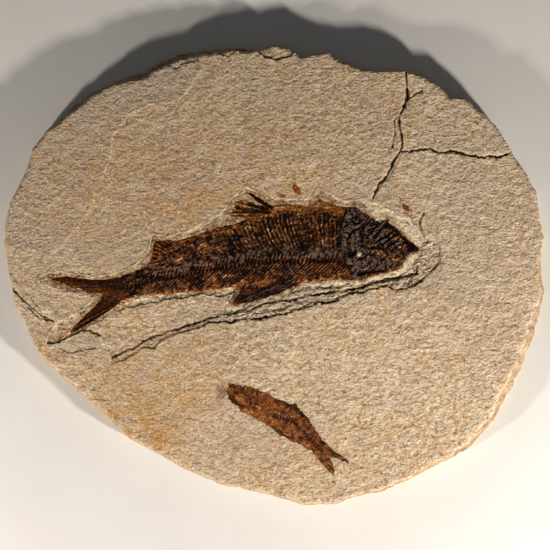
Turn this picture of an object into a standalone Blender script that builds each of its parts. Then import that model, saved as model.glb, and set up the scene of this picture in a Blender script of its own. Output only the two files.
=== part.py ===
"""A limestone plate with two fossil fish and three loose scales, as closed solids at real size.

The plate lies face up. X runs along the large fish toward its snout, Y toward the plate's far rim and Z up.
The origin is the middle of the plate's outline, on its flat underside. Every size here is in millimetres,
and MM turns it into metres as the meshes are made.
"""

import math
import random

import bmesh
import bpy
from mathutils import Vector

MM = 0.001

# Plate
SLAB_THICKNESS = 16.0
LAMINA_GAP = 0.3
HOLLOW_DEPTH = 2.4
BENCH_DEPTH = 1.5
LEDGE_DEPTH = 0.7
SCARP_SLOPE = 0.5
SCAR_DEPTH = 1.6
CUT_OVERSHOOT = 1.0
CHIP_SEED = 7
CHIP_MOST = 1.3

# Fish and scales
SEAT_GAP = 0.3
LARGE_EDGE = 0.5
LARGE_CROWN = 1.15
SPINE_RIDGE = 0.35
SPINE_HALF_WIDTH = 2.2
RIB_SPACING = 2.6
RIB_RELIEF = 0.16
RIB_LEAN = 0.5
TAIL_STEP = 2.0
HEAD_STEP = 2.4
HEAD_START = 44.0
HEAD_RIDGE = 0.45
HEAD_RIDGE_HALF_WIDTH = 1.7
FIN_LIFT = 0.05
FIN_THICKNESS = 0.75
FIN_RAY_RELIEF = 0.22
SMALL_RECESS = 0.9
SMALL_EDGE = 0.55
SMALL_CROWN = 0.4
SCALE_RECESS = 0.5
SCALE_THICKNESS = 0.5
WALL_GAP = 0.45

# Bottom, top and mean inset of each lamina that shows on the flank, from the underside up.
LAMINAE = (
    (0.0, 4.0, 3.2),
    (4.3, 7.4, 0.9),
    (7.7, 10.4, 2.0),
    (10.7, 13.0, 0.6),
    (13.3, SLAB_THICKNESS, 1.0),
)

# How far the top edge of the plate stands in from its widest lamina, by direction in degrees.
RIM_INSET = (
    (-180, 1.4), (-150, 2.2), (-100, 2.0), (-65, 2.4), (-45, 3.6), (-22, 5.6), (-6, 4.6), (4, 0.8),
    (60, 0.8), (92, 1.6), (104, 3.8), (124, 4.2), (131, 1.6), (138, 3.4), (150, 1.2), (180, 1.4),
)

SLAB_OUTLINE = (
    (-184.5, 23.5), (-183.5, 35.5), (-181, 48.5), (-176, 57.5), (-169, 72.5), (-165, 86), (-155.5, 98.5),
    (-144.5, 108), (-135, 116), (-127, 122.5), (-116, 128), (-99, 135.5), (-92, 137), (-78, 145),
    (-64.5, 150.5), (-50.5, 152.5), (-30.5, 155), (-11, 154), (1.5, 157.5), (8.5, 156), (17.5, 148.5),
    (25.5, 150.5), (36.5, 152), (45, 146.5), (58, 141), (73, 139), (88.5, 139.5), (99.5, 136.5),
    (113, 128.5), (119.5, 121.5), (130, 120.5), (139.5, 113), (152, 100.5), (162, 84), (172.5, 68),
    (178.5, 57), (181, 37), (184, 24), (182, 16.5), (182.5, -3.5), (184.5, -11), (182, -24),
    (177, -41), (169, -63.5), (156, -89.5), (152.5, -97), (135, -116.5), (124, -124), (103.5, -134),
    (91.5, -140.5), (74.5, -148), (54.5, -152), (42, -157), (20, -157.5), (1, -151.5), (-19.5, -147),
    (-35, -144), (-50.5, -137.5), (-60, -133.5), (-77, -123.5), (-98.5, -112.5), (-120, -92), (-142, -73),
    (-162, -54), (-169.5, -35.5), (-178, -20), (-182, 4.5),
)

# Rim of the hollow round the large fish: its far side from tail to snout, then its near side back again.
HOLLOW_OUTLINE = (
    (-161, -3), (-155.5, 0.5), (-146, 1.5), (-135.5, -0.5), (-121.5, -1.5), (-110.5, -0.5), (-99.5, 3.5),
    (-93, 8), (-87.5, 12), (-85.5, 16.5), (-84, 21.5), (-82.5, 26.5), (-74, 25.5), (-64.5, 28),
    (-53.5, 31), (-44.5, 37), (-37, 40.5), (-33.5, 44.5), (-27.5, 52.5), (-19.5, 59.5), (-11, 55.5),
    (-3, 51.5), (6.5, 50.5), (23, 51), (30.5, 57.5), (37, 54.5), (45, 49.5), (60, 50.5),
    (70.5, 47.5), (80, 42), (90, 37.5), (96, 31.5), (100, 25), (100.5, 18), (97.5, 12), (92, 4.5),
    (85.5, -0.5), (71.5, -4), (58, -7.5), (44.5, -7.5), (31, -8), (17.5, -10), (7, -15.5),
    (-8.5, -19.5), (-21.5, -23.5), (-33, -27), (-31, -18), (-28, -13), (-36.5, -15.5), (-49.5, -13.5),
    (-64.5, -17), (-78, -18.5), (-91.5, -21), (-102.5, -24), (-112, -28), (-120.5, -32.5), (-129.5, -37.5),
    (-137.5, -42), (-147, -46), (-154.5, -47.5), (-154, -43), (-152, -38.5), (-147, -32.5), (-139, -29),
    (-131, -25), (-124, -17.5), (-120.5, -15.5), (-127, -14), (-132.5, -12.5), (-141, -11.5), (-151.5, -8.5),
)

# Two scarps that step down toward the fish, each from its tail end to its snout end.
BENCH_SCARP = (
    (-110.5, -57), (-103.5, -53.5), (-94, -49.5), (-84.5, -43.5), (-76, -40.5), (-64.5, -37), (-52, -33),
    (-42.5, -29.5), (-33, -27.5), (-23.5, -26), (-16.5, -25), (-8.5, -21), (3.5, -18.5), (14, -17.5),
    (21.5, -14.5), (32.5, -14), (40.5, -12), (51.5, -11), (59.5, -9), (71.5, -5.5), (85.5, -2.5),
    (97.5, 0.5),
)
LEDGE_SCARP = (
    (-115.5, -59.5), (-110.5, -61), (-101.5, -58), (-93, -53.5), (-89.5, -50.5), (-81.5, -50), (-76.5, -45),
    (-67.5, -41), (-57.5, -37.5), (-52, -37.5), (-45, -33), (-30.5, -32.5), (-18.5, -30.5), (-3, -29),
    (7, -27), (20.5, -23), (30.5, -19.5), (40, -19.5), (48, -14.5), (62, -11.5), (76, -8),
    (83.5, -11), (93.5, -8.5), (101.5, -3.5), (108.5, 3), (114, 9), (112.5, 18), (109, 24),
)
# How both lowered strips close under the fish, from the snout back to the tail.
STRIP_RETURN = (
    (94, 20), (84, 10), (17.5, -3.5), (-23.5, -8.5), (-84.5, -15), (-106.5, -21), (-119.5, -30.5),
    (-119.5, -42), (-116.5, -48),
)

# Cracks, as a path, a width at the surface and a depth.
CRACKS = {
    "main_crack": (
        ((89.5, 142), (89.5, 133.5), (90, 122.5), (89.5, 118), (87.5, 113), (84.5, 107), (85.5, 99.5),
         (86.5, 89.5), (83.5, 80.5), (79, 72.5), (71, 61), (65.5, 50)), 1.5, 2.6),
    "second_strand": (((86.5, 112.5), (82, 105), (81.5, 91.5), (79, 84)), 0.7, 1.0),
    "branch_crack": (
        ((86.5, 83.5), (91.5, 82.5), (99, 84.5), (105.5, 85.5), (110.5, 83.5), (119.5, 84), (131, 81.5),
         (142.5, 79.5), (153.5, 80.5), (162, 83.5)), 1.0, 1.6),
    "left_crack": (((-184, -4), (-173, -15.5), (-163, -24), (-152.5, -31)), 0.9, 1.4),
}

# Shallow flakes struck off the far rim.
FLAKE_SCARS = {
    "left_scar": ((-80, 156), (-77.5, 145), (-68.5, 139), (-60, 144), (-52.5, 145), (-50, 158)),
    "middle_scar": ((-43, 162), (-40.5, 152), (-35.5, 148), (-30.5, 148), (-26, 152.5), (-23.5, 162)),
    "right_scar": ((-15.5, 162), (-13.5, 152.5), (-6.5, 148), (1.5, 146), (10.5, 148), (14.5, 151.5), (15, 164)),
}

# Large fish: it lies on its back, so its belly edge is on the far side. Both edges run tail to snout.
BELLY_EDGE = (
    (-101.5, -0.5), (-93.5, 3), (-84.5, 8.5), (-74.5, 15.5), (-65.5, 22), (-57.5, 25.5), (-48.5, 28.5),
    (-41, 31.5), (-31, 33.5), (-23, 36.5), (-13.5, 40.5), (-4.5, 44.5), (3.5, 48), (15.5, 48),
    (25.5, 47.5), (30.5, 51), (37.5, 48.5), (47.5, 45), (55.5, 45.5), (62, 41), (67.5, 37),
    (77, 35.5), (83.5, 31.5), (88.5, 26), (94, 21.5), (97.5, 18),
)
BACK_EDGE = (
    (-101.5, -16.5), (-97, -15), (-88, -13.5), (-74.5, -13.5), (-57.5, -12), (-44, -10.5), (-30.5, -9),
    (-18.5, -8), (-6.5, -7), (7, -6), (20.5, -5), (37.5, -3.5), (52.5, -4), (61.5, -3),
    (71.5, 0.5), (82.5, 2.5), (88, 8.5), (93, 14), (97.5, 16),
)
BACKBONE = (
    (-101.5, -9.5), (-90, -6), (-81.5, -3.5), (-67.5, -0.5), (-54, 2.5), (-44, 4), (-23.5, 7.5),
    (-6.5, 9), (3.5, 10), (17.5, 11), (41, 12), (60, 13.5), (97.5, 17),
)
# Raised edges of head bones: gill cover, cheek, jaw, brow and skull.
HEAD_BONES = (
    ((48, 44), (44.5, 33.5), (43.5, 23), (45.5, 12), (48.5, 4), (53.5, -2.5)),
    ((59, 40), (65.5, 32), (63.5, 22), (66, 15.5)),
    ((97, 17), (84, 18), (74, 18.5), (66.5, 18)),
    ((50.5, -1), (61.5, 2), (72, 4.5), (83.5, 6.5)),
    ((70, 32), (79, 27), (90, 22)),
)
EYE_CENTRE = (68.5, 14.5)
EYE_RADIUS = 3.4
EYE_RING_RADIUS = 0.9

# Fins as rows of ray points, from the root inside the body out to the tips: (rows, rays).
LARGE_FINS = {
    "tail": ((
        ((-97.5, 0), (-97.5, -9), (-97.5, -14.5)),
        ((-118.5, -3), (-106.5, -11.5), (-116, -27)),
        ((-137.5, -1), (-112.5, -13), (-133, -38)),
        ((-155, -3), (-144.5, -7), (-132, -11), (-118, -14.5), (-127, -25), (-139, -37), (-151.5, -45)),
    ), 16),
    "back_fin": ((
        ((18, -3), (-15.5, -6)),
        ((7, -10.5), (-17.5, -8.5)),
        ((-8.5, -16.5), (-20, -10)),
        ((-28.5, -20.5), (-26.5, -16.5), (-23, -11.5)),
    ), 9),
    "belly_fin": ((
        ((-1.5, 44), (-7, 42), (-12.5, 37)),
        ((-10.5, 50.5), (-15.5, 46), (-21.5, 38.5)),
        ((-19.5, 57), (-26, 50), (-31, 40)),
    ), 8),
    "vent_fin": ((
        ((-63, 21), (-72.5, 14), (-82.5, 7)),
        ((-67, 22.5), (-77.5, 18), (-83.5, 9)),
        ((-71, 23.5), (-81, 22), (-83.5, 12)),
    ), 6),
}

# Small fish: it lies the right way up, with its head at the far left. Both edges run head to tail.
SMALL_BACK_EDGE = (
    (-31.5, -74), (-23.5, -75), (-18, -76), (-10, -79), (-1.5, -83), (9, -87.5), (16, -91.5),
    (23, -99.5), (29, -108), (33.5, -113.5), (37.5, -117.5),
)
SMALL_BELLY_EDGE = (
    (-31.5, -84), (-29, -87.5), (-25, -90), (-19.5, -94), (-13.5, -98), (-6.5, -101.5), (0.5, -106.5),
    (8, -110.5), (14, -113), (21.5, -118.5), (28, -123.5), (32.5, -127.5),
)
SMALL_TAIL_EDGE = ((47, -124), (51, -127), (47.5, -128.5), (40, -125), (42, -133), (40, -137), (35, -132.5))
SMALL_BACK_FIN_EDGE = ((9, -87.5), (13, -87.5), (19, -93), (23.5, -98))
SMALL_FINS = {
    "small_tail": ((
        ((34, -115.5), (31.5, -119.5), (29.5, -123)),
        ((42.5, -121.5), (35.5, -122), (35, -130)),
        ((50, -127), (38.5, -124), (40, -136)),
    ), 8),
    "small_back_fin": (((
        (8, -89.5), (20, -99)),
        ((12.5, -88.5), (22.5, -97.5)),
    ), 5),
}
SMALL_COLUMNS = 30
SMALL_ROWS = 6

# Loose scales, clockwise from their far tips.
LOOSE_SCALES = {
    "loose_scale_1": ((14.5, 61.5), (17, 58), (18.5, 54), (15, 54.5), (12.5, 57.5), (12, 60.5)),
    "loose_scale_2": ((3, 55), (8, 54), (7, 52.5), (4, 52)),
    "loose_scale_3": ((87, 48.5), (91, 45.5), (91, 43), (88, 44.5)),
}


def clear_scene():
    """Removes every object that the scene starts with."""
    for item in list(bpy.data.objects):
        bpy.data.objects.remove(item, do_unlink=True)


def principled(name, colour, roughness):
    """A non-metallic material of one colour (linear RGB) and roughness."""
    material = bpy.data.materials.new(name)
    material.use_nodes = True
    shader = material.node_tree.nodes["Principled BSDF"]
    shader.inputs["Base Color"].default_value = (*colour, 1.0)
    shader.inputs["Roughness"].default_value = roughness
    shader.inputs["Metallic"].default_value = 0.0
    return material


def interpolate(points, x):
    """The height at x of a line of (x, height) points that run along X, level past its ends."""
    if x <= points[0][0]:
        return points[0][1]
    for (x0, y0), (x1, y1) in zip(points, points[1:]):
        if x <= x1:
            return y0 + (y1 - y0) * (x - x0) / (x1 - x0)
    return points[-1][1]


def along(points, t):
    """The point at t, from 0 to 1, on a line whose given points are evenly spaced in t."""
    place = min(max(t, 0.0), 1.0) * (len(points) - 1)
    i = min(int(place), len(points) - 2)
    return Vector(points[i]).lerp(Vector(points[i + 1]), place - i)


def distance_to_path(x, y, path):
    """How far the point (x, y) is from a path of straight stretches."""
    point = Vector((x, y))
    best = math.inf
    for start, end in zip(path, path[1:]):
        a = Vector(start)
        run = Vector(end) - a
        share = min(max((point - a).dot(run) / run.length_squared, 0.0), 1.0)
        best = min(best, (point - a - run * share).length)
    return best


def anticlockwise(outline):
    """The outline as vectors that turn left, seen from above."""
    points = [Vector(point) for point in outline]
    area = sum(a.cross(b) for a, b in zip(points, points[1:] + points[:1]))
    return points if area > 0 else points[::-1]


def spread(outline, distance):
    """The outline moved outward by a distance, or inward where it is negative."""
    points = anticlockwise(outline)
    moved = []
    for i, point in enumerate(points):
        before = (point - points[i - 1]).normalized()
        after = (points[(i + 1) % len(points)] - point).normalized()
        tangent = (before + after).normalized()
        moved.append(point + Vector((tangent.y, -tangent.x)) * distance)
    return moved


def at_height(outline, z):
    """The outline's points in 3-D, at one height."""
    return [Vector((point[0], point[1], z)) for point in outline]


def add_object(name, bm, material=None):
    """A scene object from a closed mesh in millimetres, scaled to metres with its faces outward."""
    bmesh.ops.scale(bm, vec=(MM, MM, MM), verts=bm.verts)
    bmesh.ops.recalc_face_normals(bm, faces=bm.faces)
    mesh = bpy.data.meshes.new(name)
    bm.to_mesh(mesh)
    bm.free()
    item = bpy.data.objects.new(name, mesh)
    bpy.context.collection.objects.link(item)
    if material is not None:
        mesh.materials.append(material)
    return item


def ring_stack(name, rings, material=None):
    """A solid walled by rings of equal point count, from the lowest up, with flat ends."""
    bm = bmesh.new()
    loops = [[bm.verts.new(point) for point in ring] for ring in rings]
    count = len(loops[0])
    bm.faces.new(loops[0][::-1])
    bm.faces.new(loops[-1])
    for lower, upper in zip(loops, loops[1:]):
        for i in range(count):
            j = (i + 1) % count
            bm.faces.new((lower[i], lower[j], upper[j], upper[i]))
    return add_object(name, bm, material)


def relief_sheet(name, rows, underside, material=None):
    """A solid with a relief top given as rows of points, and a flat underside."""
    bm = bmesh.new()
    grid = [[bm.verts.new(point) for point in row] for row in rows]
    for near, far in zip(grid, grid[1:]):
        for i in range(len(near) - 1):
            bm.faces.new((near[i], near[i + 1], far[i + 1], far[i]))
    rim = grid[0] + [row[-1] for row in grid[1:-1]] + grid[-1][::-1] + [row[0] for row in grid[-2:0:-1]]
    feet = [bm.verts.new((vert.co.x, vert.co.y, underside)) for vert in rim]
    for i, vert in enumerate(rim):
        j = (i + 1) % len(rim)
        bm.faces.new((vert, feet[i], feet[j], rim[j]))
    bm.faces.new(feet)
    return add_object(name, bm, material)


def helper(item):
    """Marks a cutter or a joined shape as one that is not a piece of the object."""
    item.hide_render = True
    item.display_type = "WIRE"
    return item


def combine(target, other, operation):
    """Adds a Boolean that cuts the other shape from the target, or joins it on."""
    modifier = target.modifiers.new(other.name, "BOOLEAN")
    modifier.operation = operation
    modifier.solver = "EXACT"
    modifier.object = helper(other)


def chipped(outline):
    """The outline with a small nick knocked inward on each stretch."""
    chance = random.Random(CHIP_SEED)
    points = [Vector(point) for point in outline]
    rough = []
    for start, end in zip(points, points[1:] + points[:1]):
        nick = start.lerp(end, chance.uniform(0.35, 0.65))
        nick -= nick.normalized() * chance.uniform(0.0, CHIP_MOST)
        rough += [start, nick]
    return rough


def lamina_wobble(angle, level):
    """How far a lamina's edge wanders in or out, as slow waves round the plate."""
    slow = math.sin(5 * angle + 2.1 * level)
    middling = math.sin(11 * angle + 4.7 * level)
    quick = math.sin(23 * angle + 1.3 * level)
    return 0.8 * slow + 0.6 * middling + 0.4 * quick


def flank_rings():
    """Rings up the plate's flank: two a lamina, so that each lamina ends in a small ledge."""
    outline = chipped(SLAB_OUTLINE)
    angles = [math.atan2(point.y, point.x) for point in outline]
    insets = []
    for level, (_, _, mean) in enumerate(LAMINAE):
        insets.append([max(mean + lamina_wobble(angle, level), 0.0) for angle in angles])
    for i, angle in enumerate(angles):
        widest = min(row[i] for row in insets[:-1])
        insets[-1][i] = widest + interpolate(RIM_INSET, math.degrees(angle)) + 0.3 * insets[-1][i]
        for row in insets:
            row[i] -= widest
    rings = []
    for (low, high, _), row in zip(LAMINAE, insets):
        for z, lean in ((low, 0.25), (high, 0.0)):
            shifts = (point * (1 - (inset + lean) / point.length) for point, inset in zip(outline, row))
            rings.append(at_height(shifts, z))
    return rings


def surface_cutter(name, outline, depth, slope):
    """A cutter that lowers the surface inside an outline, with walls that lean back as they rise."""
    floor = spread(outline, -slope / 2)
    above = spread(outline, slope / 2)
    rings = (at_height(floor, SLAB_THICKNESS - depth), at_height(above, SLAB_THICKNESS + CUT_OVERSHOOT))
    return ring_stack(name, rings)


def crack_cutter(name, path, width, depth):
    """A wedge along a crack's path, narrowing to its foot and to both ends."""
    points = [Vector(point) for point in path]
    last = len(points) - 1
    rings = []
    for z, share in ((SLAB_THICKNESS - depth, 0.25), (SLAB_THICKNESS + CUT_OVERSHOOT, 1.2)):
        left, right = [], []
        for i, point in enumerate(points):
            run = (points[min(i + 1, last)] - points[max(i - 1, 0)]).normalized()
            ends = 0.35 if i in (0, last) else 1.0
            side = Vector((-run.y, run.x)) * width * share * ends / 2
            left.append(point + side)
            right.append(point - side)
        rings.append(at_height(right + left[::-1], z))
    return ring_stack(name, rings)


def build_slab():
    """The limestone plate: its laminated flank, the hollow and steps round the fish, cracks and scars."""
    slab = ring_stack("stone_slab", flank_rings(), principled("limestone", (0.38, 0.27, 0.17), 0.85))
    ledge = LEDGE_SCARP + STRIP_RETURN
    bench = BENCH_SCARP + STRIP_RETURN
    combine(slab, surface_cutter("ledge_cutter", ledge, LEDGE_DEPTH, SCARP_SLOPE), "DIFFERENCE")
    combine(slab, surface_cutter("bench_cutter", bench, BENCH_DEPTH, SCARP_SLOPE), "DIFFERENCE")
    combine(slab, surface_cutter("hollow_cutter", HOLLOW_OUTLINE, HOLLOW_DEPTH, SCARP_SLOPE), "DIFFERENCE")
    for name, outline in FLAKE_SCARS.items():
        combine(slab, surface_cutter(name, outline, SCAR_DEPTH, 1.0), "DIFFERENCE")
    for name, (path, width, depth) in CRACKS.items():
        combine(slab, crack_cutter(name, path, width, depth), "DIFFERENCE")
    seat = SMALL_BACK_EDGE[:5] + SMALL_BACK_FIN_EDGE + SMALL_BACK_EDGE[8:] + SMALL_TAIL_EDGE
    seat += SMALL_BELLY_EDGE[::-1]
    seat_cutter = surface_cutter("small_fish_seat", spread(seat, WALL_GAP), SMALL_RECESS, 0.0)
    combine(slab, seat_cutter, "DIFFERENCE")
    for name, outline in LOOSE_SCALES.items():
        scale_seat = surface_cutter(name + "_seat", spread(outline, WALL_GAP), SCALE_RECESS, 0.0)
        combine(slab, scale_seat, "DIFFERENCE")
    return slab


def fin(name, rows, rays, underside):
    """A fin as a thin sheet with a ridge along each ray, thinner toward the tips."""
    columns = 2 * rays + 1
    sheet = []
    for r, row in enumerate(rows):
        thickness = FIN_THICKNESS * (1 - 0.35 * r / (len(rows) - 1))
        points = []
        for i in range(columns):
            place = along(row, i / (columns - 1))
            ridge = FIN_RAY_RELIEF if i % 2 else -FIN_RAY_RELIEF
            points.append((place.x, place.y, underside + thickness + ridge))
        sheet.append(points)
    return relief_sheet(name, sheet, underside)


def join_fins(body, fins, underside):
    """Joins each fin on to the body it grows from."""
    for i, (name, (rows, rays)) in enumerate(fins.items(), start=1):
        combine(body, fin(name, rows, rays, underside + i * FIN_LIFT), "UNION")


def body_stations():
    """Places along the backbone where a column of the large fish's surface starts, and if a rib is there."""
    tail_end, head_end = BACKBONE[0][0], BACKBONE[-1][0]
    rib_start = HEAD_START - 30 * RIB_SPACING
    tail_count = round((rib_start - tail_end) / TAIL_STEP)
    stations = [(tail_end + i * TAIL_STEP, i % 2 == 0) for i in range(tail_count)]
    stations += [(rib_start + i * RIB_SPACING / 2, i % 2 == 0) for i in range(60)]
    head_count = round((head_end - HEAD_START) / HEAD_STEP)
    head_step = (head_end - HEAD_START) / head_count
    stations += [(HEAD_START + i * head_step, False) for i in range(head_count + 1)]
    return stations


def body_point(station, on_rib, share, underside):
    """A surface point of the large fish: share runs from -1 at the back edge over the backbone to 1."""
    spine = interpolate(BACKBONE, station)
    edge = BELLY_EDGE if share > 0 else BACK_EDGE
    in_trunk = min(max((HEAD_START - station) / 24, 0.0), 1.0)
    x = station
    for _ in range(3):
        y = spine + abs(share) * (interpolate(edge, x) - spine)
        x = station - RIB_LEAN * in_trunk * abs(y - spine)
    nose = min(max((BACKBONE[-1][0] - station) / 18, 0.15), 1.0)
    height = LARGE_EDGE + LARGE_CROWN * nose * (1 - abs(share) ** 2.4)
    if station < HEAD_START:
        height += SPINE_RIDGE * math.exp(-((y - spine) / SPINE_HALF_WIDTH) ** 2)
        if 0.15 < abs(share) < 0.9:
            height += RIB_RELIEF if on_rib else -RIB_RELIEF
    else:
        nearest = min(distance_to_path(x, y, bone) for bone in HEAD_BONES)
        fade = nose * (1 - abs(share) ** 4)
        height += fade * HEAD_RIDGE * math.exp(-((nearest / HEAD_RIDGE_HALF_WIDTH) ** 2))
    return (x, y, underside + height)


def build_large_fish():
    """The large fish: a low dome with backbone, ribs and head bones, its fins and its forked tail."""
    underside = SLAB_THICKNESS - HOLLOW_DEPTH + SEAT_GAP
    shares = (-1.0, -0.8, -0.5, -0.2, 0.0, 0.12, 0.3, 0.5, 0.7, 0.88, 1.0)
    rows = []
    for share in shares:
        rows.append([body_point(station, rib, share, underside) for station, rib in body_stations()])
    material = principled("fossil_bone_dark", (0.06, 0.03, 0.015), 0.6)
    fish = relief_sheet("large_fish", rows, underside, material)
    join_fins(fish, LARGE_FINS, underside)
    bm = bmesh.new()
    segments, rings = 12, 6
    bmesh.ops.create_uvsphere(bm, u_segments=segments, v_segments=rings, radius=1.0)
    eye_height = underside + LARGE_EDGE + LARGE_CROWN
    bmesh.ops.scale(bm, vec=(EYE_RADIUS, EYE_RADIUS * 0.8, EYE_RING_RADIUS), verts=bm.verts)
    bmesh.ops.translate(bm, vec=(*EYE_CENTRE, eye_height - 0.3), verts=bm.verts)
    combine(fish, add_object("eye_socket", bm), "UNION")
    return fish


def build_small_fish():
    """The small fish: a thin low film with a crowned middle, its tail and its back fin."""
    underside = SLAB_THICKNESS - SMALL_RECESS + SEAT_GAP
    rows = []
    for r in range(SMALL_ROWS + 1):
        share = r / SMALL_ROWS
        row = []
        for c in range(SMALL_COLUMNS + 1):
            t = c / SMALL_COLUMNS
            place = along(SMALL_BACK_EDGE, t).lerp(along(SMALL_BELLY_EDGE, t), share)
            crown = SMALL_CROWN * (1 - (2 * share - 1) ** 2) * min(1.0, 4 * t + 0.2)
            ridge = 0.07 * (-1) ** c if 0 < r < SMALL_ROWS else 0.0
            row.append((place.x, place.y, underside + SMALL_EDGE + crown + ridge))
        rows.append(row)
    material = principled("fossil_bone_brown", (0.23, 0.1, 0.045), 0.65)
    fish = relief_sheet("small_fish", rows, underside, material)
    join_fins(fish, SMALL_FINS, underside)
    return fish


def build_loose_scales():
    """Three thin scales that lie apart from the fish."""
    material = principled("fossil_scale_brown", (0.16, 0.055, 0.02), 0.5)
    low = SLAB_THICKNESS - SCALE_RECESS + SEAT_GAP
    for name, outline in LOOSE_SCALES.items():
        points = anticlockwise(outline)
        ring_stack(name, (at_height(points, low), at_height(points, low + SCALE_THICKNESS)), material)


def main():
    """Builds every piece of the plate."""
    clear_scene()
    build_slab()
    build_large_fish()
    build_small_fish()
    build_loose_scales()


main()
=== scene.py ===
"""Looks of the fossil fish slab: carved limestone, two fossil fish, three scales and a plain studio.

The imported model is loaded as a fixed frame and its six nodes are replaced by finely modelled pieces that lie
where the nodes lie. Sizes are in millimetres in the model's own frame: X runs along the large fish toward its
snout, Y toward the plate's far rim, Z up, with the plate's underside at zero.
"""

from __future__ import annotations

import logging
import math
from collections.abc import Callable, Sequence
from dataclasses import dataclass
from enum import Enum
from typing import ClassVar

import bpy
import numpy as np
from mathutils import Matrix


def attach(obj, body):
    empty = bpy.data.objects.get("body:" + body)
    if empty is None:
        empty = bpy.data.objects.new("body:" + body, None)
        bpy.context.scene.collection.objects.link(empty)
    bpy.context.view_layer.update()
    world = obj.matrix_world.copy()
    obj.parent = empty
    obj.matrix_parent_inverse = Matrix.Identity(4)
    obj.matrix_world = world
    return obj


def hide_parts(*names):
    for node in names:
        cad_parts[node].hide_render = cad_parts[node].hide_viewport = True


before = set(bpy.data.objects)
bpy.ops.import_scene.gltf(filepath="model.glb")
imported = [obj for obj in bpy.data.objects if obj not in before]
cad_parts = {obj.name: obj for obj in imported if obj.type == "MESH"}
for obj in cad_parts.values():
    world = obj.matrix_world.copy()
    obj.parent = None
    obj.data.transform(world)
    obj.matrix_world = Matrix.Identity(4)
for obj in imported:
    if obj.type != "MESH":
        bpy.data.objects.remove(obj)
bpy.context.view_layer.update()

Points = tuple[tuple[float, float], ...]
Colour = tuple[float, float, float, float]
Field = np.ndarray
MM = 0.001
# The plate's mean radius, which turns an angle round it into a way along its rim.
MEAN_RADIUS = 165.0
# Stands for the distance of a place that nothing is near.
FAR_AWAY = 99.0
# How close two heights are that count as one.
SAME_HEIGHT = 0.01
LOG = logging.getLogger("fossil_fish_slab")


# ---------------------------------------------------------------- lines and noise on the plate's face


def ramp(value: Field, low: float, high: float) -> Field:
    """Rises smoothly from 0 to 1 as the value goes from low to high.

    Args:
        value: The numbers to ease.
        low: Where the rise starts.
        high: Where the rise ends.

    Returns:
        The eased numbers.
    """
    t = np.clip((value - low) / (high - low), 0.0, 1.0)
    return t * t * (3.0 - 2.0 * t)


def bell(value: Field, width: float) -> Field:
    """A smooth bump of height 1 at zero that has fallen to a third at the given width."""
    return np.exp(-((value / width) ** 2))


def kept(value: Field, low: float = 0.0, high: float = 1.0) -> Field:
    """Keeps the value from low to high."""
    return np.clip(value, low, high)


@dataclass(frozen=True)
class Wander:
    """Smooth seeded noise from about -1 to 1, with its own feature size along and across a direction.

    Attributes:
        along: Feature size along the direction, in millimetres.
        across: Feature size across it, in millimetres.
        seed: Which of the endless such patterns it is.
        turn: The direction, in degrees from X.
    """

    along: float
    across: float
    seed: int
    turn: float = 0.0

    TABLE_SIDE: ClassVar[int] = 128
    OFFSET: ClassVar[tuple[float, float]] = (37.3, 61.7)
    GAIN: ClassVar[float] = 1.5

    def at(self, x: Field, y: Field) -> Field:
        """Reads the noise.

        Args:
            x: Places along X, in millimetres.
            y: Places along Y, in millimetres.

        Returns:
            One value for each place.
        """
        side = self.TABLE_SIDE
        slopes = np.random.default_rng(self.seed).uniform(0.0, math.tau, (side, side))
        gx, gy = np.cos(slopes), np.sin(slopes)
        cos, sin = math.cos(math.radians(self.turn)), math.sin(math.radians(self.turn))
        u = (x * cos + y * sin) / self.along + self.OFFSET[0]
        v = (y * cos - x * sin) / self.across + self.OFFSET[1]
        iu, iv = np.floor(u).astype(int), np.floor(v).astype(int)
        fu, fv = u - iu, v - iv
        wu, wv = ramp(fu, 0.0, 1.0), ramp(fv, 0.0, 1.0)
        total = np.zeros_like(u)
        for du, pu in ((0, 1.0 - wu), (1, wu)):
            for dv, pv in ((0, 1.0 - wv), (1, wv)):
                cell = ((iu + du) % side, (iv + dv) % side)
                total += pu * pv * (gx[cell] * (fu - du) + gy[cell] * (fv - dv))
        return total * self.GAIN


@dataclass(frozen=True)
class Comb:
    """A row of uneven lines, such as ribs or fin rays, each with its own place, width and strength.

    Attributes:
        pitch: The mean distance from line to line.
        width: The mean half width of a line, as a share of the pitch.
        seed: Which of the endless such rows it is.
    """

    pitch: float
    width: float
    seed: int

    TABLE_LENGTH: ClassVar[int] = 257

    def at(self, place: Field) -> tuple[Field, Field]:
        """Reads the row.

        Args:
            place: Places across the row, in the pitch's unit.

        Returns:
            How much of a line is at each place and how much of the bright gap between two, from 0 to 1.
        """
        picks = np.random.default_rng(self.seed).uniform(0.0, 1.0, (4, self.TABLE_LENGTH))
        steps = place / self.pitch
        own, joint = (cell.astype(int) % self.TABLE_LENGTH for cell in (np.floor(steps), np.round(steps)))
        off = steps - np.floor(steps) - 0.5 - 0.34 * (picks[0][own] - 0.5)
        line = bell(off, self.width * (0.55 + 0.9 * picks[1][own])) * (0.3 + 0.7 * picks[2][own])
        gap = bell(steps - np.round(steps), 0.8 * self.width) * (0.2 + 0.6 * picks[3][joint])
        return line, gap


def smooth_line(points: Points, steps: int = 4) -> Points:
    """Rounds a line of straight stretches into a curve through the same points.

    Args:
        points: The points to pass through.
        steps: How many stretches replace each one.

    Returns:
        The points of the curve.
    """
    p = np.array(points, float)
    ends = np.vstack([2 * p[0] - p[1], p, 2 * p[-1] - p[-2]])
    out = []
    for i in range(1, len(ends) - 2):
        a, b, c, d = ends[i - 1 : i + 3]
        for k in range(steps):
            t = k / steps
            out.append(0.5 * (2 * b + (c - a) * t + (2 * a - 5 * b + 4 * c - d) * t**2
                              + (3 * b - a - 3 * c + d) * t**3))
    out.append(p[-1])
    return tuple((float(q[0]), float(q[1])) for q in out)


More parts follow.
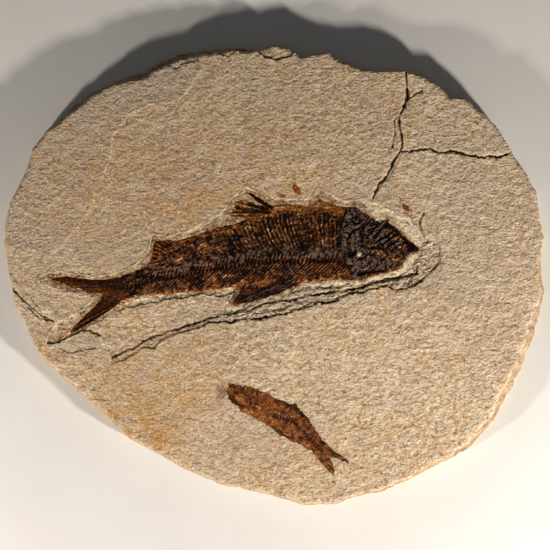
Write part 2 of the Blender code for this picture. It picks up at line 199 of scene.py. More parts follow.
@dataclass(frozen=True)
class Line:
    """A line on the plate's face.

    Attributes:
        points: Its points in order, in millimetres.
        closed: Whether its last point joins its first.
    """

    points: Points
    closed: bool = False

    def nearest(self, x: Field, y: Field) -> tuple[Field, Field, Field]:
        """Measures places against the line.

        Args:
            x: Places along X.
            y: Places along Y.

        Returns:
            For each place its distance to the line, 1 or -1 for the line's left or right side, and how far
            along the line its nearest point is, from 0 to 1.
        """
        p = np.array(self.points + (self.points[:1] if self.closed else ()), float)
        lengths = np.hypot(*(p[1:] - p[:-1]).T)
        starts = np.concatenate([[0.0], np.cumsum(lengths)])
        best = np.full(x.shape, np.inf)
        distance, side, share = best.copy(), np.ones_like(best), np.zeros_like(best)
        for i, length in enumerate(lengths):
            run = (p[i + 1] - p[i]) / length
            dx, dy = x - p[i][0], y - p[i][1]
            t = np.clip(dx * run[0] + dy * run[1], 0.0, length)
            off = np.hypot(dx - t * run[0], dy - t * run[1])
            cross = dy * run[0] - dx * run[1]
            score = off - 1e-3 * np.abs(cross)
            closer = score < best
            best = np.where(closer, score, best)
            distance = np.where(closer, off, distance)
            side = np.where(closer, np.where(cross >= 0, 1.0, -1.0), side)
            share = np.where(closer, (starts[i] + t) / starts[-1], share)
        return distance, side, share

    def inside(self, x: Field, y: Field) -> Field:
        """Tells which places a closed line surrounds."""
        p = np.array(self.points, float)
        found = np.zeros(x.shape, bool)
        for (x0, y0), (x1, y1) in zip(p, np.roll(p, -1, axis=0)):
            if y0 == y1:
                continue
            crosses = ((y0 > y) != (y1 > y)) & (x < (x1 - x0) * (y - y0) / (y1 - y0) + x0)
            found ^= crosses
        return found

    def frayed(self, amount: float, seed: int) -> Line:
        """Roughens a closed line.

        Args:
            amount: How far its points are shifted, in millimetres.
            seed: Which of the endless such roughenings it is.

        Returns:
            The roughened line, with a point about every millimetre.
        """
        p = np.array(self.points + self.points[:1], float)
        run = np.concatenate([[0.0], np.cumsum(np.hypot(*(p[1:] - p[:-1]).T))])
        steps = np.linspace(0.0, run[-1], int(run[-1]))[:-1]
        x, y = np.interp(steps, run, p[:, 0]), np.interp(steps, run, p[:, 1])
        east = Wander(1.9, 1.9, seed).at(x, y) + 0.5 * Wander(0.9, 0.9, seed + 1).at(x, y)
        north = Wander(1.9, 1.9, seed + 2).at(x, y) + 0.5 * Wander(0.9, 0.9, seed + 3).at(x, y)
        return Line(tuple(zip((x + amount * east).tolist(), (y + amount * north).tolist())), closed=True)

    def depth_inside(self, x: Field, y: Field) -> Field:
        """How far inside a closed line each place is, negative outside it."""
        return np.where(self.inside(x, y), 1.0, -1.0) * self.nearest(x, y)[0]


def level_at(points: Points, x: Field) -> Field:
    """The height at x of a line that runs along X, level past its ends."""
    p = np.array(points, float)
    return np.interp(x, p[:, 0], p[:, 1])


# ---------------------------------------------------------------- the plate's lines

SILHOUETTE: Points = (
    (-184.5, 23.5), (-183.5, 35.5), (-181, 48.5), (-176, 57.5), (-169, 72.5), (-165, 86), (-155.5, 98.5),
    (-144.5, 108), (-135, 116), (-127, 122.5), (-116, 128), (-99, 135.5), (-92, 137), (-78, 145),
    (-64.5, 150.5), (-50.5, 152.5), (-30.5, 155), (-11, 154), (1.5, 157.5), (8.5, 156), (17.5, 148.5),
    (25.5, 150.5), (36.5, 152), (45, 146.5), (58, 141), (73, 139), (88.5, 139.5), (99.5, 136.5),
    (113, 128.5), (119.5, 121.5), (130, 120.5), (139.5, 113), (152, 100.5), (162, 84), (172.5, 68),
    (178.5, 57), (181, 37), (184, 24), (182, 16.5), (182.5, -3.5), (184.5, -11), (182, -24),
    (177, -41), (169, -63.5), (156, -89.5), (152.5, -97), (135, -116.5), (124, -124), (103.5, -134),
    (91.5, -140.5), (74.5, -148), (54.5, -152), (42, -157), (20, -157.5), (1, -151.5), (-19.5, -147),
    (-35, -144), (-50.5, -137.5), (-60, -133.5), (-77, -123.5), (-98.5, -112.5), (-120, -92), (-142, -73),
    (-162, -54), (-169.5, -35.5), (-178, -20), (-182, 4.5),
)

# How far the face's rim stands in from the widest part of the flank, by direction in degrees.
RIM_INSET: Points = (
    (-180, 1.0), (-150, 1.4), (-100, 1.2), (-65, 1.8), (-45, 3.0), (-22, 5.6), (-6, 4.6), (4, 0.8),
    (60, 0.8), (92, 1.2), (104, 3.4), (124, 3.8), (131, 1.4), (138, 3.0), (150, 1.0), (180, 1.0),
)

# Rim of the hollow round the large fish: its far side from tail to snout, then its near side back again.
HOLLOW = Line((
    (-161, -3), (-155.5, 0.5), (-146, 1.5), (-135.5, -0.5), (-121.5, -1.5), (-110.5, -0.5), (-99.5, 3.5),
    (-93, 8), (-87.5, 12), (-85.5, 16.5), (-84.3, 21.5), (-82.5, 26.5), (-74, 25.5), (-68, 26.5), (-64.5, 28),
    (-61, 27.5), (-57.5, 30), (-53.5, 31), (-44.5, 37), (-37, 40.5), (-33.5, 44.5), (-27.5, 52.5),
    (-19.5, 59.5), (-11, 55.5), (-3, 51.5), (6.5, 50.5), (23, 51), (26, 52.5), (30.5, 57.5), (37, 54.5),
    (45, 49.5), (60, 50.5), (70.5, 47.5), (80, 42), (90, 37.5), (96, 31.5), (100, 25), (100.5, 18),
    (97.5, 12), (92, 4.5), (85.5, -0.5), (71.5, -4), (58, -7.5), (44.5, -7.5), (31, -8), (17.5, -10),
    (7, -15.5), (-8.5, -19.5), (-21.5, -23.5), (-33, -27), (-31, -18), (-28, -12.5), (-36.5, -15.5),
    (-49.5, -13.5), (-57, -15), (-64.5, -17), (-67, -16), (-78, -18.5), (-91.5, -21), (-102.5, -24),
    (-112, -28), (-120.5, -32.5), (-129.5, -37.5), (-137.5, -42), (-147, -46), (-154.5, -47.5), (-154, -43),
    (-152, -38.5), (-147, -32.5), (-139, -29), (-131, -25), (-124, -17.5), (-120.5, -15.5), (-127, -14),
    (-132.5, -12.5), (-141, -11.5), (-151.5, -8.5),
), closed=True)

# How both lowered strips on the near side close under the fish, from the snout back to the tail.
STRIP_RETURN: Points = (
    (94, 20), (84, 10), (17.5, -3.5), (-23.5, -8.5), (-84.5, -15), (-106.5, -21), (-119.5, -30.5),
    (-119.5, -42), (-116.5, -48),
)
BENCH = Line((
    (-110.5, -57), (-103.5, -53.5), (-94, -49.5), (-84.5, -43.5), (-76, -40.5), (-64.5, -37), (-52, -33),
    (-42.5, -29.5), (-33, -27.5), (-23.5, -26), (-16.5, -25), (-8.5, -21), (3.5, -18.5), (14, -17.5),
    (21.5, -14.5), (32.5, -14), (40.5, -12), (51.5, -11), (59.5, -9), (71.5, -5.5), (85.5, -2.5),
    (97.5, 0.5),
) + STRIP_RETURN, closed=True)
LEDGE = Line((
    (-115.5, -59.5), (-110.5, -61), (-101.5, -58), (-93, -53.5), (-89.5, -50.5), (-81.5, -50), (-76.5, -45),
    (-67.5, -41), (-57.5, -37.5), (-52, -37.5), (-45, -33), (-30.5, -32.5), (-18.5, -30.5), (-3, -29),
    (7, -27), (20.5, -23), (30.5, -19.5), (40, -19.5), (48, -14.5), (62, -11.5), (76, -8),
    (83.5, -11), (93.5, -8.5), (101.5, -3.5), (108.5, 3), (114, 9), (112.5, 18), (109, 24),
) + STRIP_RETURN, closed=True)


@dataclass(frozen=True)
class FlakeEdge:
    """A broken edge of one thin lamina: the face drops along it and climbs back to level away from it.

    Attributes:
        points: The edge, with the lower ground on its left.
        drop: How far the ground drops there.
        reach: How far from the edge the drop has mostly gone.
    """

    points: Points
    drop: float
    reach: float


FLAKE_EDGES: tuple[FlakeEdge, ...] = (
    # Scars along the far rim.
    FlakeEdge(((-80, 154), (-77.5, 145), (-68.5, 139), (-60, 144), (-52.5, 145), (-50, 158)), 0.5, 9.0),
    FlakeEdge(((-43, 160), (-40.5, 152), (-35.5, 148), (-30.5, 148), (-26, 152.5), (-23.5, 160)), 0.5, 8.0),
    FlakeEdge(((-15.5, 160), (-13.5, 152.5), (-6.5, 148), (1.5, 146), (10.5, 148), (14.5, 152), (15, 164)),
              0.75, 12.0),
    # Thin laminae between the hollow and the two scarps.
    FlakeEdge(((8, -14), (15, -12.5), (20.5, -10.7), (31, -9.4), (38, -9), (47, -10)), 0.5, 3.0),
    FlakeEdge(((12, -20), (20.5, -18), (27, -19.3), (38, -19.2), (46, -17)), 0.6, 3.0),
    FlakeEdge(((-18, -29), (-12.5, -26.5), (-4, -26), (6, -23.5), (14, -21.5)), 0.5, 3.0),
    FlakeEdge(((57, -9.5), (65, -6.3), (78, -3.2), (91, -1.2), (98, 0.8)), 0.75, 2.5),
    FlakeEdge(((86, -8), (92, -6), (99, -1), (105, 3)), 0.3, 3.0),
    # The paler tread beyond the lower tail lobe, with the deep short crack behind it.
    FlakeEdge(((-148, -49.5), (-145, -51.5), (-142.5, -53), (-139, -53.5), (-133.5, -52.5), (-128, -51),
               (-119.5, -50)), 0.45, 9.0),
    FlakeEdge(((-131, -38.8), (-126.5, -38.2), (-123.5, -39.6), (-118.3, -42.2)), 0.95, 4.0),
    # Short arcs off the snout.
    FlakeEdge(((86, 44), (90, 41), (93.5, 37.5), (97, 33.5), (99.5, 29), (100.5, 25)), 0.3, 2.5),
    FlakeEdge(((112, 9), (113, 15), (112.5, 20), (109.5, 24.5)), 0.25, 3.0),
)


@dataclass(frozen=True)
class Crack:
    """A crack across the face.

    Attributes:
        points: Its path.
        width: Its width at the surface.
        depth: How deep it is cut.
        lip: How far the ground on its right stands above its left.
    """

    points: Points
    width: float
    depth: float
    lip: float = 0.0


CRACKS: tuple[Crack, ...] = (
    Crack(((89.5, 142), (89.5, 133.5), (90, 127.5), (90.2, 122), (89.5, 118), (87.5, 113), (85, 108)),
          0.85, 1.6),
    Crack(((90, 127), (90.5, 121.5), (89.2, 116), (87.8, 112.5)), 1.9, 1.3),
    Crack(((85, 108), (85, 101.5), (86, 95), (86.8, 89.5), (85.5, 84.5), (83.5, 80.5), (80, 76.5), (79, 72.5),
           (77, 68), (74.5, 64), (71, 61), (68.5, 56), (65.8, 50.5)), 1.15, 1.9, 0.25),
    Crack(((87, 83), (83.5, 76.5), (79.5, 68.5), (77, 65), (73.5, 61.5), (70.5, 57.5), (67.5, 53)), 0.5, 0.5),
    Crack(((86.5, 112), (82, 105), (81.5, 98), (81.5, 91.5), (80, 85)), 0.55, 0.7),
    Crack(((91, 119.5), (93.5, 121.5), (97.5, 123.5), (101, 125)), 0.85, 0.9),
    Crack(((86.5, 83.5), (90, 84), (91.5, 82.5), (93.5, 84), (99, 84.8), (105.5, 85.5), (110.5, 83.3),
           (119.5, 84), (126, 83.3), (131, 81.5), (142.5, 79.7), (148, 80.5), (153.5, 80.5), (158, 81.8),
           (162, 83.5)), 1.0, 1.5, 0.15),
    Crack(((-153.5, -46.8), (-149, -45.6), (-146, -45.2), (-140.5, -41.8), (-135, -39.7), (-129, -36.4)),
          1.4, 0.8),
    Crack(((-184, -3), (-178.5, -9), (-173, -15.5), (-168, -20), (-163, -24), (-157.5, -28.3), (-152.5, -31),
           (-148.5, -32.3)), 0.75, 1.2, 0.2),
    Crack(((-167.5, -22), (-163.5, -26.5), (-159.5, -29.7), (-155, -31.3), (-151.5, -31)), 0.6, 0.8),
    Crack(((-180, 1), (-175, -5), (-169, -12.5), (-163, -19.5), (-159, -23.5)), 0.4, 0.4),
    Crack(((40.5, 89.5), (42, 93), (44.5, 96.5), (46.5, 99), (49.5, 101.7)), 0.4, 0.35),
    Crack(((-6.5, -80.3), (-3, -79.4), (0.6, -78.2)), 0.6, 0.45),
    Crack(((52.7, -124.8), (56.8, -121.4)), 0.5, 0.3),
    Crack(((22.8, -94.9), (24.8, -92.8)), 0.5, 0.3), Crack(((-30.2, -73.5), (-29.2, -71.5)), 0.6, 0.4),
    Crack(((101.5, 42), (99.2, 37.7), (99, 34.3), (99.6, 30.5)), 0.95, 0.7),
    Crack(((102.5, 10.5), (104.5, 9.8), (106, 10.6)), 0.6, 0.5),
    Crack(((94.5, 7), (95, 2.5)), 0.6, 0.5),
)

# Healed cracks, filled with paler stone: faint lines with almost no relief.
VEINS: tuple[Points, ...] = (
    ((-50.5, 139), (-59, 125.5), (-65.5, 118.5), (-74.5, 116.5), (-82.5, 116.5), (-91.5, 112.5), (-98, 110),
     (-100.5, 106.5), (-110.5, 94), (-111, 83.5), (-112.5, 77), (-118.5, 64), (-123.5, 48.5), (-128, 40.5),
     (-139, 26), (-145, 20), (-152, 14)),
    ((-136, -76.5), (-133, -72.5), (-128, -67.5), (-123.5, -64.5), (-119.5, -61), (-116.5, -58)),
    ((-32.5, -26.5), (-31, -18), (-27.5, -12)),
    ((-119, -42), (-116.5, -48), (-113, -52.7), (-110.5, -57)),
)


# The greyer corner of the face beyond the longest healed crack.
GREY_CORNER = Line(VEINS[0] + ((-230, 30), (-230, 230), (-45, 230)), closed=True)


@dataclass(frozen=True)
class Stain:
    """A soft round patch of colour on the face: its centre, its reach along X and Y, and its strength."""

    x: float
    y: float
    reach_x: float
    reach_y: float
    strength: float


# Rust, clay darkened by organic matter, and chalk.
IRON_STAINS: tuple[Stain, ...] = (
    Stain(-68, -70, 34, 24, 0.45), Stain(-95, -85, 24, 20, 0.2), Stain(-52, -92, 20, 16, 0.3),
    Stain(-84, -113, 18, 9, 0.9), Stain(-135, 50, 45, 45, 0.3), Stain(-60, 70, 60, 30, 0.2),
    Stain(-36.3, -79.5, 3.2, 4.8, 0.5),
    Stain(-120, -70, 22, 14, 0.35), Stain(-70, -48, 30, 9, 0.2), Stain(-150, -45, 10, 14, 0.2),
    Stain(43, 87.5, 2.0, 1.6, 1.0), Stain(142.5, 70.4, 1.6, 1.8, 0.9), Stain(2, -120, 45, 16, 0.25),
    Stain(-100, 95, 6, 8, 0.3), Stain(-104, -100, 26, 14, 0.8),
    Stain(-60, 45, 60, 30, 0.3), Stain(-145, -68, 20, 10, 0.4),
    Stain(-40, 95, 120, 45, 0.22), Stain(-20, 54, 70, 9, 0.3), Stain(113, 3, 2.0, 1.4, 1.0),
)
GREY_STAINS: tuple[Stain, ...] = (
    Stain(-90, -69.7, 3.0, 2.0, 0.9), Stain(-40, 125, 100, 30, 0.36), Stain(-36.3, -79.5, 3.2, 4.8, 1.4),
    Stain(-70, 60, 70, 40, 0.35), Stain(-30, -30, 30, 10, 0.35), Stain(73, 53, 14, 7, 0.45),
    Stain(-125, -46, 20, 5, 0.7), Stain(20, -18, 40, 5, 0.6), Stain(113, -1, 9, 8, 0.35),
    Stain(135, 30, 45, 90, 0.4), Stain(0, -110, 40, 25, 0.35), Stain(55, 90, 22, 45, 0.3),
    Stain(-165, -5, 20, 40, 0.35), Stain(-110, 20, 45, 14, 0.5),
)
CHALK_STAINS: tuple[Stain, ...] = (
    Stain(60, -75, 130, 70, 0.3), Stain(110, 70, 60, 70, 0.28), Stain(-108, 108, 26, 16, 0.35),
    Stain(-30, -110, 30, 25, 0.2), Stain(140, -60, 50, 60, 0.15),
)
# The faded film that trails from the loose scale by the snout, faint end first.
SCALE_STREAK = Line(((83, 56), (85.5, 51.5), (88, 47.5), (90, 44.5), (92.5, 42.5)))
# Small pits in the face.
PITS: Points = (
    (-28.2, -120), (-51.3, -120), (122.7, -90.8), (103.7, -77.2), (-8.5, 67.6), (36, 30.6), (121, 12),
    (-137, 60), (-20, 104), (134, 44), (-12.6, -26.9), (20, -70), (58, -112), (-66, 84), (150, -20),
    (-160, 40),
)


# ---------------------------------------------------------------- finishes


def linear(code: str) -> Colour:
    """Turns an sRGB hex code into linear colour.

    Args:
        code: Six hex digits after a hash sign.

    Returns:
        Red, green, blue and full opacity.
    """
    parts = [int(code[i : i + 2], 16) / 255.0 for i in (1, 3, 5)]
    red, green, blue = (c / 12.92 if c <= 0.04045 else ((c + 0.055) / 1.055) ** 2.4 for c in parts)
    return red, green, blue, 1.0


def add_node(tree: bpy.types.NodeTree, kind: str, links: dict | None = None, **settings) -> bpy.types.Node:
    """Adds a shader node with its settings, values and links.

    Args:
        tree: The node tree to add to.
        kind: The node's type name.
        links: Input names or numbers, each with a value or with the output socket to link from.
        **settings: Properties of the node itself.

    Returns:
        The new node.
    """
    node = tree.nodes.new(kind)
    for name, value in settings.items():
        setattr(node, name, value)
    for name, value in (links or {}).items():
        if isinstance(value, bpy.types.NodeSocket):
            tree.links.new(value, node.inputs[name])
        else:
            node.inputs[name].default_value = value
    return node


class Grain(Enum):
    """Directions that fine relief runs in, as stretches of object space along X, Y and Z."""

    EVEN = (1.0, 1.0, 1.0)
    BEDDED = (0.96, 1.05, 1.0)


@dataclass(frozen=True)
class Pattern:
    """Noise in object space whose features have a real size.

    Attributes:
        size_mm: The size of a feature, in millimetres.
        detail: How many finer layers are added.
        rough: How strong the finer layers are.
        grain: How the pattern is stretched.
    """

    size_mm: float
    detail: float
    rough: float = 0.55
    grain: Grain = Grain.EVEN

    def add(self, tree: bpy.types.NodeTree) -> bpy.types.NodeSocket:
        """Adds the pattern to a material, unless it is there already.

        Args:
            tree: The material's node tree.

        Returns:
            The socket of its value, from 0 to 1.
        """
        name = f"{self.grain.name}_{self.size_mm}_{self.detail}_{self.rough}"
        if name not in tree.nodes:
            place = add_node(tree, "ShaderNodeTexCoord").outputs["Object"]
            turned = add_node(tree, "ShaderNodeMapping", {"Vector": place, "Scale": self.grain.value})
            add_node(tree, "ShaderNodeTexNoise",
                     {"Vector": turned.outputs["Vector"], "Scale": 1.0 / (self.size_mm * 2.0 * MM),
                      "Detail": self.detail, "Roughness": self.rough}, name=name)
        return tree.nodes[name].outputs["Fac"]


@dataclass(frozen=True)
class Layer:
    """A colour laid over those below it, where a painted mask, a pattern or both let it show.

    Attributes:
        tint: The colour's code, or its socket.
        mask: The name of the painted mask.
        pattern: The pattern, or a value's socket.
        low: The pattern's value where the colour starts to show.
        high: The pattern's value where it shows most.
        most: How much of it shows there.
    """

    tint: str | bpy.types.NodeSocket
    mask: str = ""
    pattern: Pattern | bpy.types.NodeSocket | None = None
    low: float = 0.0
    high: float = 1.0
    most: float = 1.0

    def over(self, tree: bpy.types.NodeTree, colour: Colour | bpy.types.NodeSocket) -> bpy.types.NodeSocket:
        """Lays the colour over another.

        Args:
            tree: The material's node tree.
            colour: The colour below it, or its socket.

        Returns:
            The socket of the colour that shows.
        """
        share = 1.0
        if self.mask:
            share = add_node(tree, "ShaderNodeAttribute", attribute_name=self.mask).outputs["Fac"]
        if self.pattern is not None:
            value = self.pattern.add(tree) if isinstance(self.pattern, Pattern) else self.pattern
            spread = add_node(tree, "ShaderNodeMapRange", {"Value": value, "From Min": self.low,
                              "From Max": self.high, "To Max": self.most}, interpolation_type="SMOOTHSTEP")
            share = add_node(tree, "ShaderNodeMath", {0: share, 1: spread.outputs["Result"]},
                             operation="MULTIPLY", use_clamp=True).outputs[0]
        tint = linear(self.tint) if isinstance(self.tint, str) else self.tint
        return add_node(tree, "ShaderNodeMix", {0: share, 6: colour, 7: tint}, data_type="RGBA").outputs[2]


def new_material(name: str) -> tuple[bpy.types.Material, bpy.types.NodeTree, bpy.types.Node]:
    """Makes a material that holds only a shader and an output.

    Args:
        name: The material's name.

    Returns:
        The material, its node tree and its Principled shader.
    """
    material = bpy.data.materials.new(name)
    material.use_nodes = True
    tree = material.node_tree
    return material, tree, tree.nodes["Principled BSDF"]


@dataclass(frozen=True)
class SplitLimestone:
    """Fine-grained lake limestone, split along its bedding: matt, with a close orange-peel grain."""

    tan: str = "#BFA788"
    warm: str = "#CEB187"
    rosy: str = "#C3A98F"
    mauve: str = "#A89A8A"
    iron: str = "#B98C52"
    skin: str = "#80592B"
    scraped: str = "#E4D0AC"
    deep: str = "#2A1C12"
    umber: str = "#86643E"
    chalk: str = "#E6D3B6"
    roughness: float = 0.88
    gloss: float = 0.25
    peel: Pattern = Pattern(1.75, 3.0, 0.62, Grain.BEDDED)
    speck: Pattern = Pattern(0.72, 2.0, 0.7)
    speck_share: float = 0.35
    strength: float = 0.95
    worn: float = 0.45
    relief_mm: float = 1.9

    def layers(self) -> tuple[Layer, ...]:
        """Lists the stone's colours from the lowest to the topmost."""
        return (
            Layer(self.warm, "", Pattern(22.0, 3.0), 0.35, 0.65),
            Layer(self.chalk, "chalk"),
            # Clay and iron came down in uneven clouds a finger's width across.
            Layer(self.rosy, "", Pattern(6.5, 2.5), 0.42, 0.62, 0.8),
            Layer(self.iron, "", Pattern(5.5, 2.5), 0.56, 0.72, 0.5),
            # Chalky and brown blotches of several sizes, which the relief doesn't follow.
            Layer(self.chalk, "", Pattern(9.0, 1.5), 0.55, 0.74, 0.5),
            Layer(self.chalk, "", Pattern(3.6, 1.5), 0.55, 0.72, 0.5),
            Layer(self.iron, "", Pattern(3.1, 1.5), 0.55, 0.72, 0.5),
            Layer(self.mauve, "", Pattern(2.4, 1.5), 0.56, 0.7, 0.5),
            Layer(self.chalk, "", Pattern(1.7, 1.5), 0.54, 0.7, 0.6),
            Layer(self.umber, "", Pattern(1.55, 1.5), 0.54, 0.7, 0.65),
            Layer(self.mauve, "mauve"),
            Layer(self.iron, "iron", Pattern(5.0, 4.0), 0.3, 0.7, 1.3),
            # Scraped stone, the paler fill of healed cracks, and painted highlights on lips, crests and the
            # hollow's rim.
            Layer(self.scraped, "scraped"),
            # A film of the fish's skin stains the stone beside it; the same brown lies beside the cracks and, as
            # painted shade, round the grooves at the scarps' feet.
            Layer(self.skin, "skin", Pattern(1.3, 3.0), 0.28, 0.58, 1.2),
            # The grain's hollows are brown, and its grains are brown or chalky.
            Layer(self.umber, "", self.peel, 0.48, 0.26, 0.4),
            Layer(self.umber, "", self.speck, 0.46, 0.3, 0.7),
            Layer(self.chalk, "", self.speck, 0.54, 0.7, 0.75),
            # Painted shade in cracks, grooves, pits, scratch troughs and at the feet of steps and broken edges;
            # on the flank, grime and dark joints.
            Layer(self.deep, "deep"),
        )

    def make(self) -> bpy.types.Material:
        """Builds the material.

        Returns:
            The finished material.
        """
        material, tree, shader = new_material("limestone_split_face")
        colour = linear(self.tan)
        for layer in self.layers():
            colour = layer.over(tree, colour)
        # The peel is the raised grain that raking light picks out; it is smoother on scraped ground and under
        # the painted highlights that share its mask.
        height = add_node(tree, "ShaderNodeMath", {0: self.speck.add(tree), 1: self.speck_share,
                          2: self.peel.add(tree)}, operation="MULTIPLY_ADD").outputs[0]
        scraped = add_node(tree, "ShaderNodeAttribute", attribute_name="scraped").outputs["Fac"]
        strength = add_node(tree, "ShaderNodeMath", {0: scraped, 1: -self.worn * self.strength,
                            2: self.strength}, operation="MULTIPLY_ADD").outputs[0]
        bump = add_node(tree, "ShaderNodeBump", {"Strength": strength, "Distance": self.relief_mm * MM,
                                                 "Height": height})
        tree.links.new(colour, shader.inputs["Base Color"])
        tree.links.new(bump.outputs["Normal"], shader.inputs["Normal"])
        shader.inputs["Roughness"].default_value = self.roughness
        shader.inputs["Specular IOR Level"].default_value = self.gloss
        return material


@dataclass(frozen=True)
class FossilBone:
    """Bone and skin turned to mineral: sooty where thick, then umber and gold, and cream where thin."""

    name: str
    tones: tuple[tuple[float, str], ...]
    ash: str = "#6F5F53"
    roughness: float = 0.5
    matter: float = 0.2
    fleck: Pattern = Pattern(0.7, 2.5)
    mottle: Pattern = Pattern(1.9, 3.0)
    tooth: float = 0.9
    relief_mm: float = 0.7
    sheen: float = 0.1
    bite: float = 0.62
    mottling: float = 0.62
    rust: float = 0.3
    rusting: Colour = (1.15, 0.88, 0.58, 1.0)

    def make(self) -> bpy.types.Material:
        """Builds the material.

        Returns:
            The finished material.
        """
        material, tree, shader = new_material(self.name)
        fleck, mottle = self.fleck.add(tree), self.mottle.add(tree)
        # Flecks and mottling push the painted tone up and down before it picks a colour.
        tone = add_node(tree, "ShaderNodeAttribute", attribute_name="tone").outputs["Fac"]
        for pattern, share in ((fleck, self.bite), (mottle, self.mottling)):
            tone = add_node(tree, "ShaderNodeMath", {0: pattern, 1: share, 2: tone},
                            operation="MULTIPLY_ADD").outputs[0]
        tone = add_node(tree, "ShaderNodeMath", {0: tone, 1: (self.bite + self.mottling) / 2},
                        operation="SUBTRACT").outputs[0]
        toned = add_node(tree, "ShaderNodeValToRGB", {"Fac": tone})
        stops = toned.color_ramp.elements
        while len(stops) < len(self.tones):
            stops.new(0.5)
        for stop, (place, code) in zip(stops, self.tones):
            stop.position = place
            stop.color = linear(code)
        bone = toned.outputs["Color"]
        rusted = add_node(tree, "ShaderNodeMix", {0: 1.0, 6: bone, 7: self.rusting}, data_type="RGBA",
                          blend_type="MULTIPLY").outputs[2]
        # Iron rust reddens it in patches.
        colour = Layer(rusted, "", Pattern(4.5, 2.0), 0.45, 0.62, self.rust).over(tree, bone)
        # The film catches on what stands up and leaves the sooty hollows black.
        colour = Layer(self.ash, "ash", tone, 0.08, 0.36).over(tree, colour)
        bump = add_node(tree, "ShaderNodeBump", {"Strength": self.tooth, "Distance": self.relief_mm * MM,
                                                 "Height": fleck})
        tree.links.new(colour, shader.inputs["Base Color"])
        tree.links.new(bump.outputs["Normal"], shader.inputs["Normal"])
        rough = add_node(tree, "ShaderNodeMapRange", {"Value": mottle, "From Min": 0.3, "From Max": 0.7,
                         "To Min": self.roughness, "To Max": self.roughness + self.matter},
                         interpolation_type="SMOOTHSTEP")
        tree.links.new(rough.outputs["Result"], shader.inputs["Roughness"])
        shader.inputs["Specular IOR Level"].default_value = self.sheen
        return material


DARK_BONE = FossilBone(
    "fossil_bone_dark",
    ((0.0, "#0C0300"), (0.16, "#1F0D04"), (0.33, "#3E1E0B"), (0.48, "#5E3515"), (0.64, "#845225"),
     (0.78, "#AC7A42"), (0.9, "#CFA772"), (1.0, "#EADFCC")),
    roughness=0.6, sheen=0.06, bite=0.85, rust=0.6)
BROWN_BONE = FossilBone(
    "fossil_bone_brown",
    ((0.0, "#1F0E06"), (0.25, "#4A260E"), (0.5, "#7E4A20"), (0.75, "#AC733D"), (1.0, "#D0AA80")),
    ash="#75604C", roughness=0.6, bite=0.7, rust=0.5)
BROWN_SCALE = FossilBone(
    "fossil_scale_brown",
    ((0.0, "#351B0E"), (0.4, "#74401B"), (0.7, "#A8662C"), (1.0, "#C8925A")),
    ash="#7A5A44", roughness=0.4)


@dataclass(frozen=True)
class PaperSweep:
    """Matt seamless background paper: pale, even, with a faint fibre mottle."""

    paper: str = "#DEDCD7"
    fibre: str = "#D6D3CD"
    mottle: Pattern = Pattern(30.0, 2.0)
    roughness: float = 0.95

    def make(self) -> bpy.types.Material:
        """Builds the material.

        Returns:
            The finished material.
        """
        material, tree, shader = new_material("background_paper")
        colours = {0: self.mottle.add(tree), 6: linear(self.paper), 7: linear(self.fibre)}
        mixed = add_node(tree, "ShaderNodeMix", colours, data_type="RGBA").outputs[2]
        tree.links.new(mixed, shader.inputs["Base Color"])
        shader.inputs["Roughness"].default_value = self.roughness
        return material


# ---------------------------------------------------------------- modelling as by hand


def only(piece: bpy.types.Object) -> None:
    """Makes one object the only selected one, and active."""
    bpy.ops.object.select_all(action="DESELECT")
    piece.select_set(True)
    bpy.context.view_layer.objects.active = piece


def place_in_mesh(piece: bpy.types.Object) -> None:
    """Moves an object's place, turn and scale into its mesh."""
    only(piece)
    bpy.ops.object.transform_apply(location=True, rotation=True, scale=True)


def read_points(piece: bpy.types.Object) -> Field:
    """Reads a mesh's points, in millimetres."""
    flat = np.empty(len(piece.data.vertices) * 3, np.float32)
    piece.data.vertices.foreach_get("co", flat)
    return flat.reshape(-1, 3).astype(float) / MM


def write_points(piece: bpy.types.Object, points: Field) -> None:
    """Writes a mesh's points, given in millimetres."""
    piece.data.vertices.foreach_set("co", (points * MM).astype(np.float32).ravel())
    piece.data.update()


def face_centres(piece: bpy.types.Object) -> Field:
    """Reads the centre of each face, in millimetres."""
    flat = np.empty(len(piece.data.polygons) * 3, np.float32)
    piece.data.polygons.foreach_get("center", flat)
    return flat.reshape(-1, 3).astype(float) / MM


def select_faces(piece: bpy.types.Object, chosen: Field) -> None:
    """Selects some of a mesh's faces and opens it in face mode.

    Args:
        piece: The object.
        chosen: True for each face to select.
    """
    only(piece)
    mesh = piece.data
    mesh.vertices.foreach_set("select", np.zeros(len(mesh.vertices), bool))
    mesh.edges.foreach_set("select", np.zeros(len(mesh.edges), bool))
    mesh.polygons.foreach_set("select", chosen)
    bpy.context.tool_settings.mesh_select_mode = (False, False, True)
    bpy.ops.object.mode_set(mode="EDIT")


def border_edges(piece: bpy.types.Object) -> Field:
    """Finds the edges of a mesh's open border, each as a pair of points."""
    mesh = piece.data
    edge_of_loop = np.empty(len(mesh.loops), np.int32)
    mesh.loops.foreach_get("edge_index", edge_of_loop)
    ends = np.empty(len(mesh.edges) * 2, np.int32)
    mesh.edges.foreach_get("vertices", ends)
    return ends.reshape(-1, 2)[np.bincount(edge_of_loop, minlength=len(mesh.edges)) == 1]


def border_of(piece: bpy.types.Object) -> Field:
    """Tells which of a mesh's points are on its open border."""
    found = np.zeros(len(piece.data.vertices), bool)
    found[border_edges(piece).ravel()] = True
    return found


def select_border() -> None:
    """Selects the open border of the mesh that is being edited."""
    bpy.ops.mesh.select_mode(type="EDGE")
    bpy.ops.mesh.select_all(action="DESELECT")
    bpy.ops.mesh.select_non_manifold(use_wire=False, use_boundary=True, use_multi_face=False,
                                     use_non_contiguous=False, use_verts=False)


def close_and_finish(piece: bpy.types.Object) -> None:
    """Turns the faces of the edited mesh outward, leaves edit mode and shades it smooth."""
    bpy.ops.mesh.select_all(action="SELECT")
    bpy.ops.mesh.normals_make_consistent(inside=False)
    bpy.ops.object.mode_set(mode="OBJECT")
    only(piece)
    bpy.ops.object.shade_smooth()


